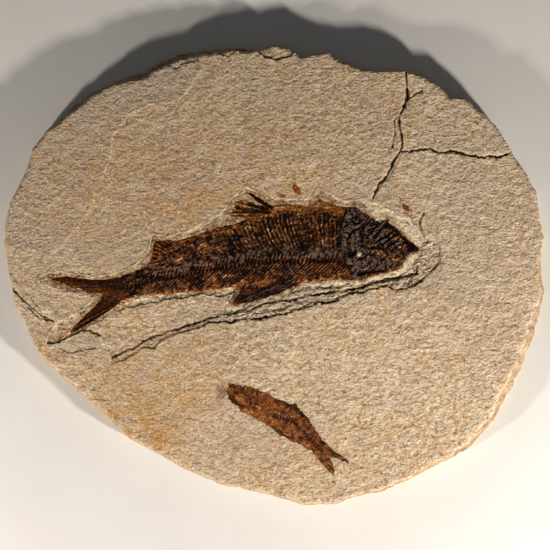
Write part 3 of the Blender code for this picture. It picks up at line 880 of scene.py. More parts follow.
def thicken(sheet: bpy.types.Object, depth: float) -> None:
    """Pulls a sheet's border down by the depth and closes it underneath."""
    only(sheet)
    bpy.ops.object.mode_set(mode="EDIT")
    select_border()
    bpy.ops.mesh.extrude_edges_move(TRANSFORM_OT_translate={"value": (0.0, 0.0, -depth * MM)})
    bpy.ops.mesh.edge_face_add()
    close_and_finish(sheet)


def paint(piece: bpy.types.Object, masks: dict[str, Field]) -> None:
    """Stores masks on a mesh's points for its material to read.

    Args:
        piece: The object.
        masks: For each mask, a value from 0 to 1 for every point.
    """
    for name, values in masks.items():
        layer = piece.data.attributes.new(name, "FLOAT", "POINT")
        layer.data.foreach_set("value", np.clip(values, 0.0, 1.0).astype(np.float32))


def stand_in(piece: bpy.types.Object, material: bpy.types.Material, node: str) -> bpy.types.Object:
    """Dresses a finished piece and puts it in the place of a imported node.

    Args:
        piece: The piece.
        material: Its finish.
        node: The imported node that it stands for.

    Returns:
        The same piece.
    """
    piece.data.materials.append(material)
    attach(piece, "root")
    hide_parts(node)
    return piece


def sheet_within(name: str, outline: Line, cell: float, z: float) -> bpy.types.Object:
    """Makes a fine flat grid trimmed to an outline, keeping the cells whose centres lie inside it.

    Args:
        name: The new object's name.
        outline: The closed line to fill.
        cell: The width of a cell, in millimetres.
        z: The sheet's height, in millimetres.

    Returns:
        The new object.
    """
    p = np.array(outline.points)
    low, high = p.min(axis=0) - cell, p.max(axis=0) + cell
    centre, size = (low + high) / 2, high - low
    count = np.ceil(size / cell).astype(int)
    bpy.ops.object.select_all(action="DESELECT")
    bpy.ops.mesh.primitive_grid_add(x_subdivisions=int(count[0]), y_subdivisions=int(count[1]), size=1.0,
                                    location=(centre[0] * MM, centre[1] * MM, z * MM))
    sheet = bpy.context.object
    sheet.name = name
    sheet.scale = (size[0] * MM, size[1] * MM, 1.0)
    place_in_mesh(sheet)
    centres = face_centres(sheet)
    select_faces(sheet, ~outline.inside(centres[:, 0], centres[:, 1]))
    bpy.ops.mesh.delete(type="FACE")
    bpy.ops.object.mode_set(mode="OBJECT")
    return sheet


def draw_border_onto(sheet: bpy.types.Object, outline: Line) -> None:
    """Moves a sheet's border points to the nearest points of its outline."""
    points = read_points(sheet)
    border = np.flatnonzero(border_of(sheet))
    ring = np.array(outline.points + outline.points[:1], float)
    best = np.full(len(border), np.inf)
    moved = points[border, :2].copy()
    here = points[border, :2]
    for a, b in zip(ring, ring[1:]):
        run = b - a
        t = np.clip(((here - a) @ run) / (run @ run), 0.0, 1.0)
        spot = a + t[:, None] * run
        off = np.hypot(*(here - spot).T)
        closer = off < best
        best = np.where(closer, off, best)
        moved[closer] = spot[closer]
    points[border, :2] = moved
    write_points(sheet, points)


# ---------------------------------------------------------------- the stone plate


def jogged(x: Field, y: Field) -> tuple[Field, Field]:
    """Shifts places a little this way and that, so that broken edges come out jagged."""
    east = 0.7 * Wander(7.0, 7.0, 41).at(x, y) + 0.5 * Wander(2.6, 2.6, 42).at(x, y)
    north = 0.8 * Wander(6.0, 6.0, 43).at(x, y) + 0.6 * Wander(2.3, 2.3, 44).at(x, y)
    north += 0.4 * Wander(1.3, 1.3, 45).at(x, y)
    return x + east, y + north


@dataclass
class Ground:
    """The face while it is carved: how its places lie and what has been done to them so far.

    Its measures are wx and wy, the jogged places; in_ledge, in_bench, in_hollow and in_fish, how far inside
    each line they are; near_side, far_side, fork, snout and under_head, parts of the hollow; band, its
    floor, and banded, its part clear of the fish. Its results are height; deep, which is painted shade;
    the pale mask of scraped stone and painted highlights; skin; and edges.

    Attributes:
        x: Places along X.
        y: Places along Y.
        fish: The large fish's outline.
    """

    x: Field
    y: Field
    fish: Line

    def __post_init__(self) -> None:
        """Measures the places, and starts with them level and clean."""
        x, y = self.x, self.y
        self.wx, self.wy = jogged(x, y)
        self.in_ledge = LEDGE.depth_inside(self.wx, self.wy)
        self.in_bench = BENCH.depth_inside(self.wx, self.wy)
        self.in_hollow = HOLLOW.depth_inside(self.wx, self.wy)
        self.in_fish = self.fish.depth_inside(x, y)
        self.near_side, self.fork = ramp(0.25 * x - 6.0 - y, 0.0, 5.0), ramp(-x, 100.0, 110.0)
        self.far_side = ramp(y - 0.12 * x, 6.0, 14.0) * ramp(96.0 - x, 0.0, 20.0)
        self.snout = ramp(x, 56.0, 72.0)
        self.under_head = self.near_side * ramp(x, 28.0, 45.0)
        self.band = ramp(self.in_hollow, -0.9, 0.7)
        self.banded = self.band * ramp(-self.in_fish, 0.2, 1.0)
        self.height, self.deep, self.scraped, self.skin, self.edges = (np.zeros_like(x) for _ in range(5))

    def noise(self, along: float, across: float, seed: int, turn: float = 0.0) -> Field:
        """Reads a noise at the places."""
        return Wander(along, across, seed, turn).at(self.x, self.y)

    def paint_shade(self, amount: Field) -> None:
        """Paints shade: makes places at least as deep and dark as the amount."""
        self.deep = np.maximum(self.deep, amount)

    def stain(self, amount: Field) -> None:
        """Lays the skin mask's brown on places at least as strongly as the amount: films of skin, halos by
        cracks, and painted shade round grooves.
        """
        self.skin = np.maximum(self.skin, amount)


@dataclass
class StonePlate:
    """The limestone plate: its split face with everything carved in it, its laminated flank and underside.

    Attributes:
        fish: The large fish's outline, where its bed is.
        thickness: Height of the face above the underside.
        cell: Width of the face's plain cells; they are halved twice along edges and cracks.
        hollow_step: How far the hollow's rim drops at once.
        hollow_dip: How much farther its floor dips on the way to the fish.
        bed_depth: Depth of the bed that the fish lies in.
        ledge_drop: Drop of the outer scarp.
        bench_drop: Further drop of the inner scarp.
        flake_drop: Drop of each thin broken lamina between the scarps.
        laminae: Heights of the laminae's joints down the flank.
        lamina_reach: How far out each lamina comes, from 0 at the rim to 1 at the silhouette, top first.
        lamina_iron: How strongly each lamina's broken edge is tinted by iron, top first.
        underside_rings: The underside's rings of points, as shares of the way out to the rim.
        coarse: The broad waves of the face.
        swell: Its waves a thumb's width across.
        lumps: Its lumps a centimetre across.
        ripple: Its finest ripple.
        rim_points: How many points the rim is drawn with.
        spreading: How often the rim's points are spread along it.
        refined_within: How near a feature the face's cells are halved once, and then again.
        flank_from: The share of the rim's reach where the flank ends under the plate.
    """

    fish: Line
    thickness: float = 16.0
    cell: float = 1.55
    hollow_step: float = 0.7
    hollow_dip: float = 0.2
    bed_depth: float = 2.2
    ledge_drop: float = 0.75
    bench_drop: float = 0.65
    flake_drop: float = 0.5
    laminae: tuple[float, ...] = (16.0, 13.7, 11.2, 8.9, 6.1, 3.3, 0.0)
    lamina_reach: tuple[float, ...] = (0.06, 0.34, 0.6, 0.9, 1.0, 0.86)
    lamina_iron: tuple[float, ...] = (0.08, 0.3, 0.05, 0.4, 0.1, 0.25)
    underside_rings: tuple[float, ...] = (0.93, 0.72, 0.45, 0.18)
    coarse: Wander = Wander(70.0, 55.0, 3)
    swell: Wander = Wander(19.0, 14.0, 5, 12.0)
    lumps: Wander = Wander(8.5, 7.0, 9)
    ripple: Wander = Wander(4.4, 4.0, 8)
    rim_points: int = 1440
    spreading: int = 25
    refined_within: tuple[float, float] = (1.8, 0.85)
    flank_from: float = 0.985

    def silhouette_reach(self, angle: Field) -> Field:
        """The widest reach of the plate in each direction, with small chips knocked in."""
        ring = np.array(SILHOUETTE + SILHOUETTE[:1], float)
        steps = np.linspace(0.0, len(ring) - 1.0, 6000)
        x = np.interp(steps, np.arange(len(ring)), ring[:, 0])
        y = np.interp(steps, np.arange(len(ring)), ring[:, 1])
        theta, reach = np.unwrap(np.arctan2(y, x)), np.hypot(x, y)
        # Where the outline doubles back, only its outer branch counts.
        if theta[-1] < theta[0]:
            theta, reach = theta[::-1], reach[::-1]
        theta = np.maximum.accumulate(theta) + np.arange(len(theta)) * 1e-9
        found = np.interp((angle - theta[0]) % math.tau + theta[0], theta, reach)
        run = angle * MEAN_RADIUS
        chips = np.clip(Wander(5.5, 1.0, 21).at(run, 0 * run), 0.0, 1.0) * 1.3
        chips += np.clip(Wander(2.2, 1.0, 22).at(run, 0 * run), 0.0, 1.0) * 0.5
        return found - chips

    def rim_inset(self, angle: Field) -> Field:
        """How far the face's rim stands in from the silhouette in each direction."""
        run = angle * MEAN_RADIUS
        wander = 0.7 * Wander(9.0, 1.0, 31).at(run, 0 * run) + 0.4 * Wander(3.2, 1.0, 32).at(run, 0 * run)
        inset = level_at(RIM_INSET, np.degrees(angle))
        return np.maximum(inset + wander * (0.45 + 0.25 * inset), 0.25)

    def rim_reach(self, angle: Field) -> Field:
        """The reach of the face's rim in each direction."""
        return self.silhouette_reach(angle) - self.rim_inset(angle)

    def feature_distance(self, x: Field, y: Field) -> Field:
        """How far each place is from the nearest scarp, crack or broken edge.

        Args:
            x: Places along X.
            y: Places along Y.

        Returns:
            The distances, 0 on broken ground and far away under the fish.
        """
        wx, wy = jogged(x, y)
        lines = [HOLLOW, BENCH, LEDGE]
        lines += [Line(edge.points) for edge in FLAKE_EDGES]
        lines += [Line(crack.points) for crack in CRACKS]
        nearest = np.min([line.nearest(wx, wy)[0] for line in lines], axis=0)
        nearest = np.where(self.flaky(wx, wy) > 0.3, 0.0, nearest)
        nearest = np.minimum(nearest, Line(VEINS[0]).nearest(wx, wy)[0] + 0.35)
        buried = self.fish.depth_inside(x, y) > 2.5
        return np.where(buried, FAR_AWAY, nearest)

    @staticmethod
    def flaky(wx: Field, wy: Field) -> Field:
        """Where the near strip is broken into thin laminae: from 0 outside it to 1 inside."""
        strip = ramp(LEDGE.depth_inside(wx, wy), -0.2, 0.8) * ramp(-HOLLOW.depth_inside(wx, wy), -0.6, 0.2)
        return strip * ramp(wx, -42.0, -28.0) * ramp(116.0 - wx, 0.0, 6.0) * ramp(28.0 - wy, 0.0, 8.0)

    @staticmethod
    def tear(x: Field, y: Field) -> Field:
        """Where thin laminae are left between the scarps: above 0 on a scrap and below 0 where it is gone."""
        return Wander(7.5, 2.4, 72, 17).at(x, y) + 0.45 * Wander(2.6, 1.5, 73, 17).at(x, y)

    def sink(self, ground: Ground) -> None:
        """Waves the face, lowers its two strips and its hollow, and lays the fish's bed.

        Args:
            ground: The face.
        """
        x, y = ground.x, ground.y
        height = 0.32 * self.coarse.at(x, y) + 0.16 * self.swell.at(x, y) + 0.19 * self.ripple.at(x, y)
        height += 0.22 * self.lumps.at(x, y)
        lowered = self.ledge_drop * ramp(ground.in_ledge, -0.1, 0.45)
        lowered += self.bench_drop * ramp(ground.in_bench, -0.1, 0.45)
        # Both strips run out gently at their tail end.
        lowered *= ramp(x + 0.35 * (y + 45), -120.0, -103.0)
        # The hollow's rim is a low step on its near side and round the tail's fork.
        worn = np.maximum(0.6 * np.maximum(ground.near_side, ground.fork), 0.85 * ground.under_head)
        depth = lowered + self.hollow_step * (1.0 - worn) * ramp(ground.in_hollow, -0.05, 0.42)
        depth += self.hollow_dip * ramp(ground.in_hollow, 0.5, 9.0)
        depth = np.maximum(depth, self.bed_depth * ramp(ground.in_fish, 0.3, 1.6))
        ground.height = height * (1.0 - 0.45 * ground.band) - depth

    def spread_skin(self, ground: Ground) -> None:
        """Stains the stone with films of skin round the large fish, most on its far side, and the small one.

        Args:
            ground: The face.
        """
        x, y = ground.x, ground.y
        reach = 2.9 + 4.0 * ground.far_side + 1.2 * ramp(-x, 96.0, 110.0) - 1.6 * ground.snout
        film = ramp(-ground.in_fish + 0.8 * ground.noise(3.4, 2.6, 62), reach, 0.2) * ground.band
        film *= kept(0.85 - 0.14 * ground.far_side + 0.7 * ground.noise(8.0, 5.0, 63), 0.15)
        halo = ramp(SMALL_OUTLINE.depth_inside(x, y), -2.6, 0.2) * kept(2.2 * ground.noise(3.2, 1.3, 79, 125))
        blob = ramp(np.hypot((x + 36.3) / 3.6, (y + 79.5) / 5.2), 1.1, 0.8)
        ground.skin = np.maximum(film, 0.8 * halo + 0.72 * blob)

    def break_rim(self, ground: Ground) -> None:
        """Breaks the hollow's rim, with thin steps inside it, and scratches the floor round the fish.

        Args:
            ground: The face.
        """
        x, inside, band, snout = ground.x, ground.in_hollow, ground.band, ground.snout
        ground.scraped += band * (0.3 * ground.noise(3.0, 3.0, 51) + 0.65 * snout - 0.02)
        # Along the rim a crisp pale line on its lip is painted highlight, and a dark line just inside it is
        # painted shade.
        crisp = kept(0.6 + 1.2 * ground.noise(6.0, 6.0, 50))
        ground.scraped += crisp * bell(inside + 0.5, 0.42)
        shade = 0.85 - 0.7 * snout - 0.5 * ground.fork
        ground.paint_shade(shade * ramp(crisp, 0.95, 0.45) * bell(inside - 0.35, 0.42))
        ground.height += 0.05 * bell(inside + 0.9, 0.6)
        ground.height += 0.2 * band * ground.noise(4.0, 2.2, 57, 20) * (ground.in_fish < 0)
        # A small dip runs just outside the rim; it is darkened with painted shade when the masks are gathered.
        ground.edges = bell(inside + 1.3, 0.4) * kept(0.35 + 1.5 * ground.noise(7.0, 7.0, 58))
        ground.height -= 0.15 * ground.edges
        # Scratches and torn films streak the floor along the fish; their troughs are darkened with painted shade
        # and their crests paled with painted highlight.
        streak = ground.noise(5.5, 0.9, 75, 20) + 0.4 * ground.noise(2.2, 0.8, 76, 24)
        ground.height += 0.2 * ground.banded * streak
        ground.paint_shade(0.85 * ground.banded * ramp(streak, -0.26, -0.5) * (1 - 0.6 * snout))
        ground.scraped += 0.7 * ground.banded * ramp(streak, 0.15, 0.4)
        # Broken steps as thin as paper run along the floor beside the rim, each with painted shade at its foot
        # and a painted highlight on its lip.
        shelf = inside + 1.3 * ground.noise(10.0, 6.0, 64) + 0.5 * ground.noise(2.8, 2.2, 65)
        for at, strength, seed in ((1.5, 1.0, 67), (3.3, 0.7, 69)):
            here = band * (1 + 0.5 * snout) * kept(0.1 + 1.5 * ground.noise(9.0, 5.0, seed)) * strength
            past = shelf - at
            ground.height -= 0.16 * here * ramp(past, -0.1, 0.25) * np.exp(-np.clip(past, 0.0, None) / 2.0)
            ground.paint_shade(0.75 * here * bell(past - 0.12, 0.36))
            ground.scraped += 0.7 * here * bell(past + 0.45, 0.4)
        # Fine arcs run round the snout, with painted shade in their grooves and painted highlight on the ridges
        # between them.
        line, gap = Comb(1.35, 0.3, 67).at(inside + 0.7 * ground.noise(5.0, 3.0, 69))
        arcs = ground.banded * snout * ramp(2.6 - inside, 0.0, 1.2)
        arcs *= kept(0.5 + 1.4 * ground.noise(6.0, 6.0, 70))
        ground.height += arcs * (0.12 * gap - 0.2 * line)
        ground.paint_shade(0.5 * arcs * line)
        ground.scraped += 0.4 * arcs * gap
        # The near rim is a dark line in places, a groove darkened with painted shade, and the floor inside it
        # rises toward the head; that floor is paled with painted light against the shadow of the rim's step.
        rim = kept(1.8 * ground.noise(13.0, 13.0, 68) + 0.5) * ground.near_side
        rim *= ramp(ground.in_fish + 9.0, 0.0, 2.0) * ramp(x, -92.0, -80.0)
        ground.paint_shade(0.9 * rim * bell(inside + 0.5, 0.45))
        ground.height -= 0.3 * rim * bell(inside + 0.5, 0.45)
        pale = (1.1 - 0.4 * rim) * ground.near_side * bell(inside - 1.2, 1.0)
        ground.scraped += pale + 0.8 * ground.under_head * bell(inside - 1.0, 1.4)
        ground.height += 0.55 * ground.under_head * ramp(inside, 0.0, 3.2)

    def break_laminae(self, ground: Ground) -> None:
        """Breaks the near strip into thin laminae and cuts the grooves at the feet of its two scarps.

        Args:
            ground: The face.
        """
        x, y = ground.x, ground.y
        gape = kept(0.65 + 0.9 * ground.noise(11.0, 11.0, 52) + 0.4 * ground.noise(3.0, 3.0, 53), 0.0, 1.2)
        gape *= ramp(-ground.in_fish, 1.0, 3.0) * (ground.in_hollow < 0.5) * ramp(x, -114.0, -108.0)
        gape *= 1.0 - 0.8 * ramp(x, 103.0, 108.0) * ramp(y, 4.0, 9.0)
        # Laminae break off one behind another, each with its broken edge toward the fish.
        stairs = ground.in_ledge / 2.2 + 1.1 * ground.noise(9.0, 4.0, 54, 18)
        stairs = stairs + 0.6 * ground.noise(3.6, 2.0, 55, 12)
        stairs += 0.45 * ground.noise(1.6, 1.2, 74, 15)
        tread = stairs - np.floor(stairs)
        flaky = self.flaky(ground.wx, ground.wy) * kept(0.75 + 0.9 * ground.noise(8.0, 6.0, 56))
        ground.height += self.flake_drop * flaky * (tread * ramp(1.0 - tread, 0.0, 0.14) - 0.3)
        # Painted shadow along the torn edges of the scraps that face away from the lamps.
        tear, tear_north = (self.tear(ground.wx, ground.wy + step) for step in (0.0, 0.6))
        ground.height += 0.34 * flaky * (ramp(tear, -0.05, 0.05) - 0.5)
        ground.paint_shade(0.95 * flaky * bell(tear + 0.03, 0.12) * ramp(tear - tear_north, 0.0, 0.1))
        # Painted shadow at the foot of each lamina's broken edge and a painted highlight along its lip.
        torn = kept(0.75 + 1.3 * ground.noise(6.0, 3.0, 59, 18))
        ground.paint_shade(0.95 * flaky * torn * ramp(np.abs(tread - 0.1), 0.34, 0.16))
        ground.scraped += 0.75 * flaky * torn * ramp(np.abs(tread - 0.8), 0.3, 0.1)
        jag = 0.55 * ground.noise(2.5, 2.0, 77) + 0.3 * ground.noise(1.2, 1.2, 78)
        uneven = 0.36 * kept(ground.noise(9.0, 9.0, 60), -1.0)
        # The inner groove gapes below the fish, and the outer one closes toward the tail.
        for foot, wide, closing in (
            (ground.in_bench, 0.74 + 0.5 * bell(x - 66.0, 24.0), 1.0),
            (ground.in_ledge, 0.74, 0.4 + 0.6 * ramp(x, -55.0, -25.0)),
        ):
            # Each groove is darkened with painted shade, the ground just outside it is paled with a painted
            # highlight, and a soft brown halo of painted shade spreads round it.
            groove = bell(foot - 0.4 + jag, (wide + uneven) * closing) * gape * closing
            ground.height -= 0.85 * groove
            ground.paint_shade(kept(1.5 * groove - 0.2))
            ground.scraped += 0.45 * bell(foot + 0.6, 0.6) * gape
            ground.stain(0.5 * bell(foot - 0.6 + jag, 1.3) * gape)

    def crack(self, ground: Ground) -> None:
        """Breaks flakes off the face and cracks it.

        Args:
            ground: The face.
        """
        # Painted shade at the foot of each flake's drop.
        for edge in FLAKE_EDGES:
            off, side, along = Line(edge.points).nearest(ground.wx, ground.wy)
            faded = ramp(along, 0.0, 0.12) * ramp(1.0 - along, 0.0, 0.12)
            signed = off * side
            fall = edge.drop * ramp(signed, -0.15, 0.35) * np.exp(-np.clip(signed, 0, None) / edge.reach)
            ground.height -= fall * faded
            ground.paint_shade(faded * min(1.0, 1.2 * edge.drop) * bell(signed - 0.3, 0.55))
        uneven = 0.85 + 0.6 * ground.noise(4.0, 4.0, 61)
        # Painted shade in the cracks, and a painted highlight along their lips.
        crack_shade = 0.78 + 0.4 * kept(ground.noise(5.0, 5.0, 78), -0.6, 0.5)
        for crack in CRACKS:
            off, side, along = Line(crack.points).nearest(ground.wx, ground.wy)
            left = 1.0 - along
            width = np.maximum(crack.width * uneven * ramp(left, 0.0, 0.06), 0.12)
            ground.height -= crack.depth * bell(off, 0.62 * width) * ramp(left, 0.0, 0.04)
            ground.height += crack.lip * bell(off, 2.2) * (side < 0) * ramp(left, 0.0, 0.2)
            ground.paint_shade(crack_shade * min(1.0, 1.6 * crack.depth) * ramp(0.8 * width - off, -0.2, 0.25))
            ground.stain(0.55 * bell(off - 0.3, 0.7 * width + 0.3) * min(1.0, 0.7 * crack.depth))
            ground.scraped += 0.6 * bell(off - width - 0.4, 0.5) * min(1.0, 0.6 * crack.depth)

    def heal(self, ground: Ground) -> Field:
        """Fills the healed cracks, stains a streak behind the scale by the snout and opens the pits.

        Args:
            ground: The face.

        Returns:
            How much of a healed crack is at each place.
        """
        vein = np.max([bell(Line(points).nearest(ground.wx, ground.wy)[0], 0.42) for points in VEINS], axis=0)
        vein = vein * kept(0.75 + 0.8 * ground.noise(9.0, 9.0, 71))
        ground.height += 0.14 * vein
        off, _, along = SCALE_STREAK.nearest(ground.wx, ground.wy)
        ground.stain((0.7 + 0.3 * along) * bell(off, 0.45 + 1.3 * along))
        # Each pit is darkened with painted shade.
        for px, py in PITS:
            hole = bell(np.hypot(ground.x - px, ground.y - py), 0.9)
            ground.height -= 0.3 * hole
            ground.paint_shade(0.8 * hole)
        return vein

    def relief(self, x: Field, y: Field) -> tuple[Field, dict[str, Field]]:
        """Works out the carved face.

        Args:
            x: Places along X.
            y: Places along Y.

        Returns:
            The height of each place over the face's level, and the masks its colour needs.
        """
        ground = Ground(x, y, self.fish)
        for step in (self.sink, self.spread_skin, self.break_rim, self.break_laminae, self.crack):
            step(ground)
        vein = self.heal(ground)
        corner = ramp(GREY_CORNER.depth_inside(ground.wx, ground.wy), -1.0, 1.5)
        iron = self.stained(x, y, IRON_STAINS) + 0.7 * vein * ramp(y - 0.5 * x, 95.0, 135.0)
        mauve = (self.stained(x, y, GREY_STAINS) + 0.4 * corner) * (1 - 0.5 * ground.band)
        chalk = self.stained(x, y, CHALK_STAINS) + 0.5 * corner * ramp(self.ripple.at(x, y), 0.0, 0.5)
        # Painted shade in the small dip just outside the hollow's rim.
        deep = np.maximum(ground.deep, 0.8 * kept(ground.edges) * (ground.band < 0.5))
        return ground.height, {"iron": iron, "mauve": mauve, "skin": ground.skin, "chalk": chalk,
                               "scraped": ground.scraped + 1.1 * vein, "deep": deep}

    @staticmethod
    def stained(x: Field, y: Field, stains: Sequence[Stain]) -> Field:
        """Adds up soft patches of colour."""
        total = np.zeros_like(x)
        for stain in stains:
            far = ((x - stain.x) / stain.reach_x) ** 2 + ((y - stain.y) / stain.reach_y) ** 2
            total += stain.strength * np.exp(-far)
        return total

    def face_height(self, x: Field, y: Field) -> Field:
        """The height of the carved face over the underside at each place."""
        return self.thickness + self.relief(x, y)[0]

    def lay_out(self) -> bpy.types.Object:
        """Makes the flat face with its border on the rim and its cells halved along its features."""
        angles = np.linspace(-math.pi, math.pi, self.rim_points + 1)[:-1]
        reach = self.rim_reach(angles)
        ring = tuple(zip((reach * np.cos(angles)).tolist(), (reach * np.sin(angles)).tolist()))
        plate = sheet_within("stone_slab_surface", Line(ring, closed=True), self.cell, self.thickness)
        points = read_points(plate)
        border, ends = border_of(plate), border_edges(plate).T
        angle = np.arctan2(points[:, 1], points[:, 0])
        # The rim's points spread evenly along it, so that the flank under them doesn't fold.
        for _ in range(self.spreading):
            step = (angle[ends[1]] - angle[ends[0]] + math.pi) % math.tau - math.pi
            pull = [np.bincount(end, step, len(angle)) for end in ends]
            angle += 0.25 * (pull[0] - pull[1])
        reach = self.rim_reach(angle[border])
        points[border, 0], points[border, 1] = reach * np.cos(angle[border]), reach * np.sin(angle[border])
        write_points(plate, points)
        for within in self.refined_within:
            centres = face_centres(plate)
            select_faces(plate, self.feature_distance(centres[:, 0], centres[:, 1]) < within)
            bpy.ops.mesh.subdivide(number_cuts=1)
            bpy.ops.object.mode_set(mode="OBJECT")
        return plate

    def wall_rows(self) -> list[tuple[float, int]]:
        """Heights of the flank's rows from the rim down, each with the number of its lamina."""
        rows = []
        for level, (top, foot) in enumerate(zip(self.laminae, self.laminae[1:])):
            heights = [top - 0.12, (top + foot) / 2, foot + 0.12]
            rows += [(z, level) for z in heights[(level == 0):]]
        return rows + [(0.0, len(self.laminae) - 2)]

    def pull_down_wall(self, plate: bpy.types.Object) -> None:
        """Extrudes the rim down row by row, then in under the plate ring by ring, and closes the middle."""
        only(plate)
        bpy.ops.object.mode_set(mode="EDIT")
        select_border()
        above = self.thickness
        for z, _ in self.wall_rows():
            bpy.ops.mesh.extrude_edges_move(TRANSFORM_OT_translate={"value": (0.0, 0.0, (z - above) * MM)})
            above = z
        before = 1.0
        for share in self.underside_rings:
            bpy.ops.mesh.extrude_edges_move(TRANSFORM_OT_translate={"value": (0.0, 0.0, 0.0)})
            bpy.ops.transform.resize(value=(share / before, share / before, 1.0), center_override=(0, 0, 0))
            before = share
        bpy.ops.mesh.merge(type="CENTER")
        close_and_finish(plate)

    def carve(self, plate: bpy.types.Object) -> None:
        """Carves the face, the flank and the underside, and paints the masks."""
        points = read_points(plate)
        x, y, z = points.T
        on_face = z > self.thickness - SAME_HEIGHT
        angle, reach = np.arctan2(y, x), np.hypot(x, y)
        rim, far = self.rim_reach(angle), self.silhouette_reach(angle)
        height, face_masks = self.relief(x[on_face], y[on_face])
        masks = {name: np.zeros(len(points)) for name in face_masks}
        rounding = 0.35 * bell(rim[on_face] - reach[on_face], 0.8)
        points[on_face, 2] += height - rounding
        for name, values in face_masks.items():
            masks[name][on_face] = values

        for z_row, level in self.wall_rows():
            row = (np.abs(z - z_row) < SAME_HEIGHT) & (reach > rim * self.flank_from)
            a = angle[row]
            run = a * MEAN_RADIUS
            wobble = Wander(14.0, 1.0, 80 + level).at(run, 0 * run)
            wobble += 0.5 * Wander(4.0, 1.0, 90 + level).at(run, 0 * run)
            rough = 0.35 * Wander(2.6, 2.0, 100).at(run, 0 * run + 3.1 * z_row)
            spare = far[row] - rim[row]
            out = spare * np.clip(self.lamina_reach[level] + 0.3 * wobble, 0.0, 1.0) + rough
            # The joints between laminae are worn back a little.
            joint = np.min(np.abs(np.array(self.laminae[1:-1]) - z_row)) < 0.2
            worn = kept(0.6 + 0.7 * Wander(9.0, 1.0, 130 + int(2 * z_row)).at(run, 0 * run), 0.0, 1.2) * joint
            out += np.where(z_row < 0.5, -1.6, 0.0) - 0.75 * worn
            target = np.minimum(rim[row] + out, far[row])
            points[row, 0], points[row, 1] = target * np.cos(a), target * np.sin(a)
            slack = min(1.0, z_row / self.thickness)
            points[row, 2] += 0.35 * Wander(11.0, 1.0, 110 + level).at(run, 0 * run) * slack * (z_row > 0.5)
            masks["iron"][row] = self.lamina_iron[level] + 0.15 * wobble
            masks["mauve"][row] = 0.35 - self.lamina_iron[level] - 0.2 * wobble
            masks["deep"][row] = (0.06 + 0.5 * worn) * (z_row < 14.5)
        below = (np.abs(z) < SAME_HEIGHT) & (reach < rim * self.flank_from)
        dish = np.clip(Wander(34.0, 26.0, 120).at(x[below], y[below]), 0.0, 1.0) * 0.7
        points[below, 2] = dish
        masks["mauve"][below] = 0.35
        write_points(plate, points)
        paint(plate, masks)

    def build(self, finish: SplitLimestone) -> bpy.types.Object:
        """Builds and dresses the plate.

        Args:
            finish: The stone's finish.

        Returns:
            The finished piece.
        """
        plate = self.lay_out()
        self.pull_down_wall(plate)
        self.carve(plate)
        return stand_in(plate, finish.make(), "stone_slab")


# ---------------------------------------------------------------- the large fish

BELLY_EDGE = smooth_line((
    (-106, -2.5), (-101.5, -0.5), (-93.5, 3), (-84.5, 8.5), (-74.5, 15.5), (-65.5, 22), (-57.5, 25.5),
    (-48.5, 28.5), (-41, 31.5), (-31, 33.5), (-23, 36.5), (-13.5, 40.5), (-4.5, 44.5), (3.5, 48), (15.5, 48),
    (25.5, 47.5), (30.5, 50), (37.5, 48.5), (47.5, 45), (55.5, 45.5), (62, 41), (67.5, 37),
    (77, 35.5), (83.5, 31.5), (88.5, 26), (94, 21.5), (97.5, 18),
))
BACK_EDGE = smooth_line((
    (-106, -19), (-101.5, -17), (-97, -15), (-88, -13.5), (-74.5, -13.5), (-57.5, -12), (-44, -10.5),
    (-30.5, -9), (-18.5, -8), (-6.5, -7), (7, -6), (20.5, -5), (37.5, -3.5), (52.5, -4), (61.5, -3),
    (71.5, 0.5), (82.5, 2.5), (88, 8.5), (93, 14), (97.5, 16),
))
BACKBONE = smooth_line((
    (-118, -13), (-101.5, -9.5), (-90, -6), (-81.5, -3.5), (-67.5, -1.5), (-54, 1.5), (-44, 3.5),
    (-23.5, 6.8), (-6.5, 8.5), (3.5, 9), (17.5, 9.5), (41, 9.5), (60, 11.5), (97.5, 17),
))
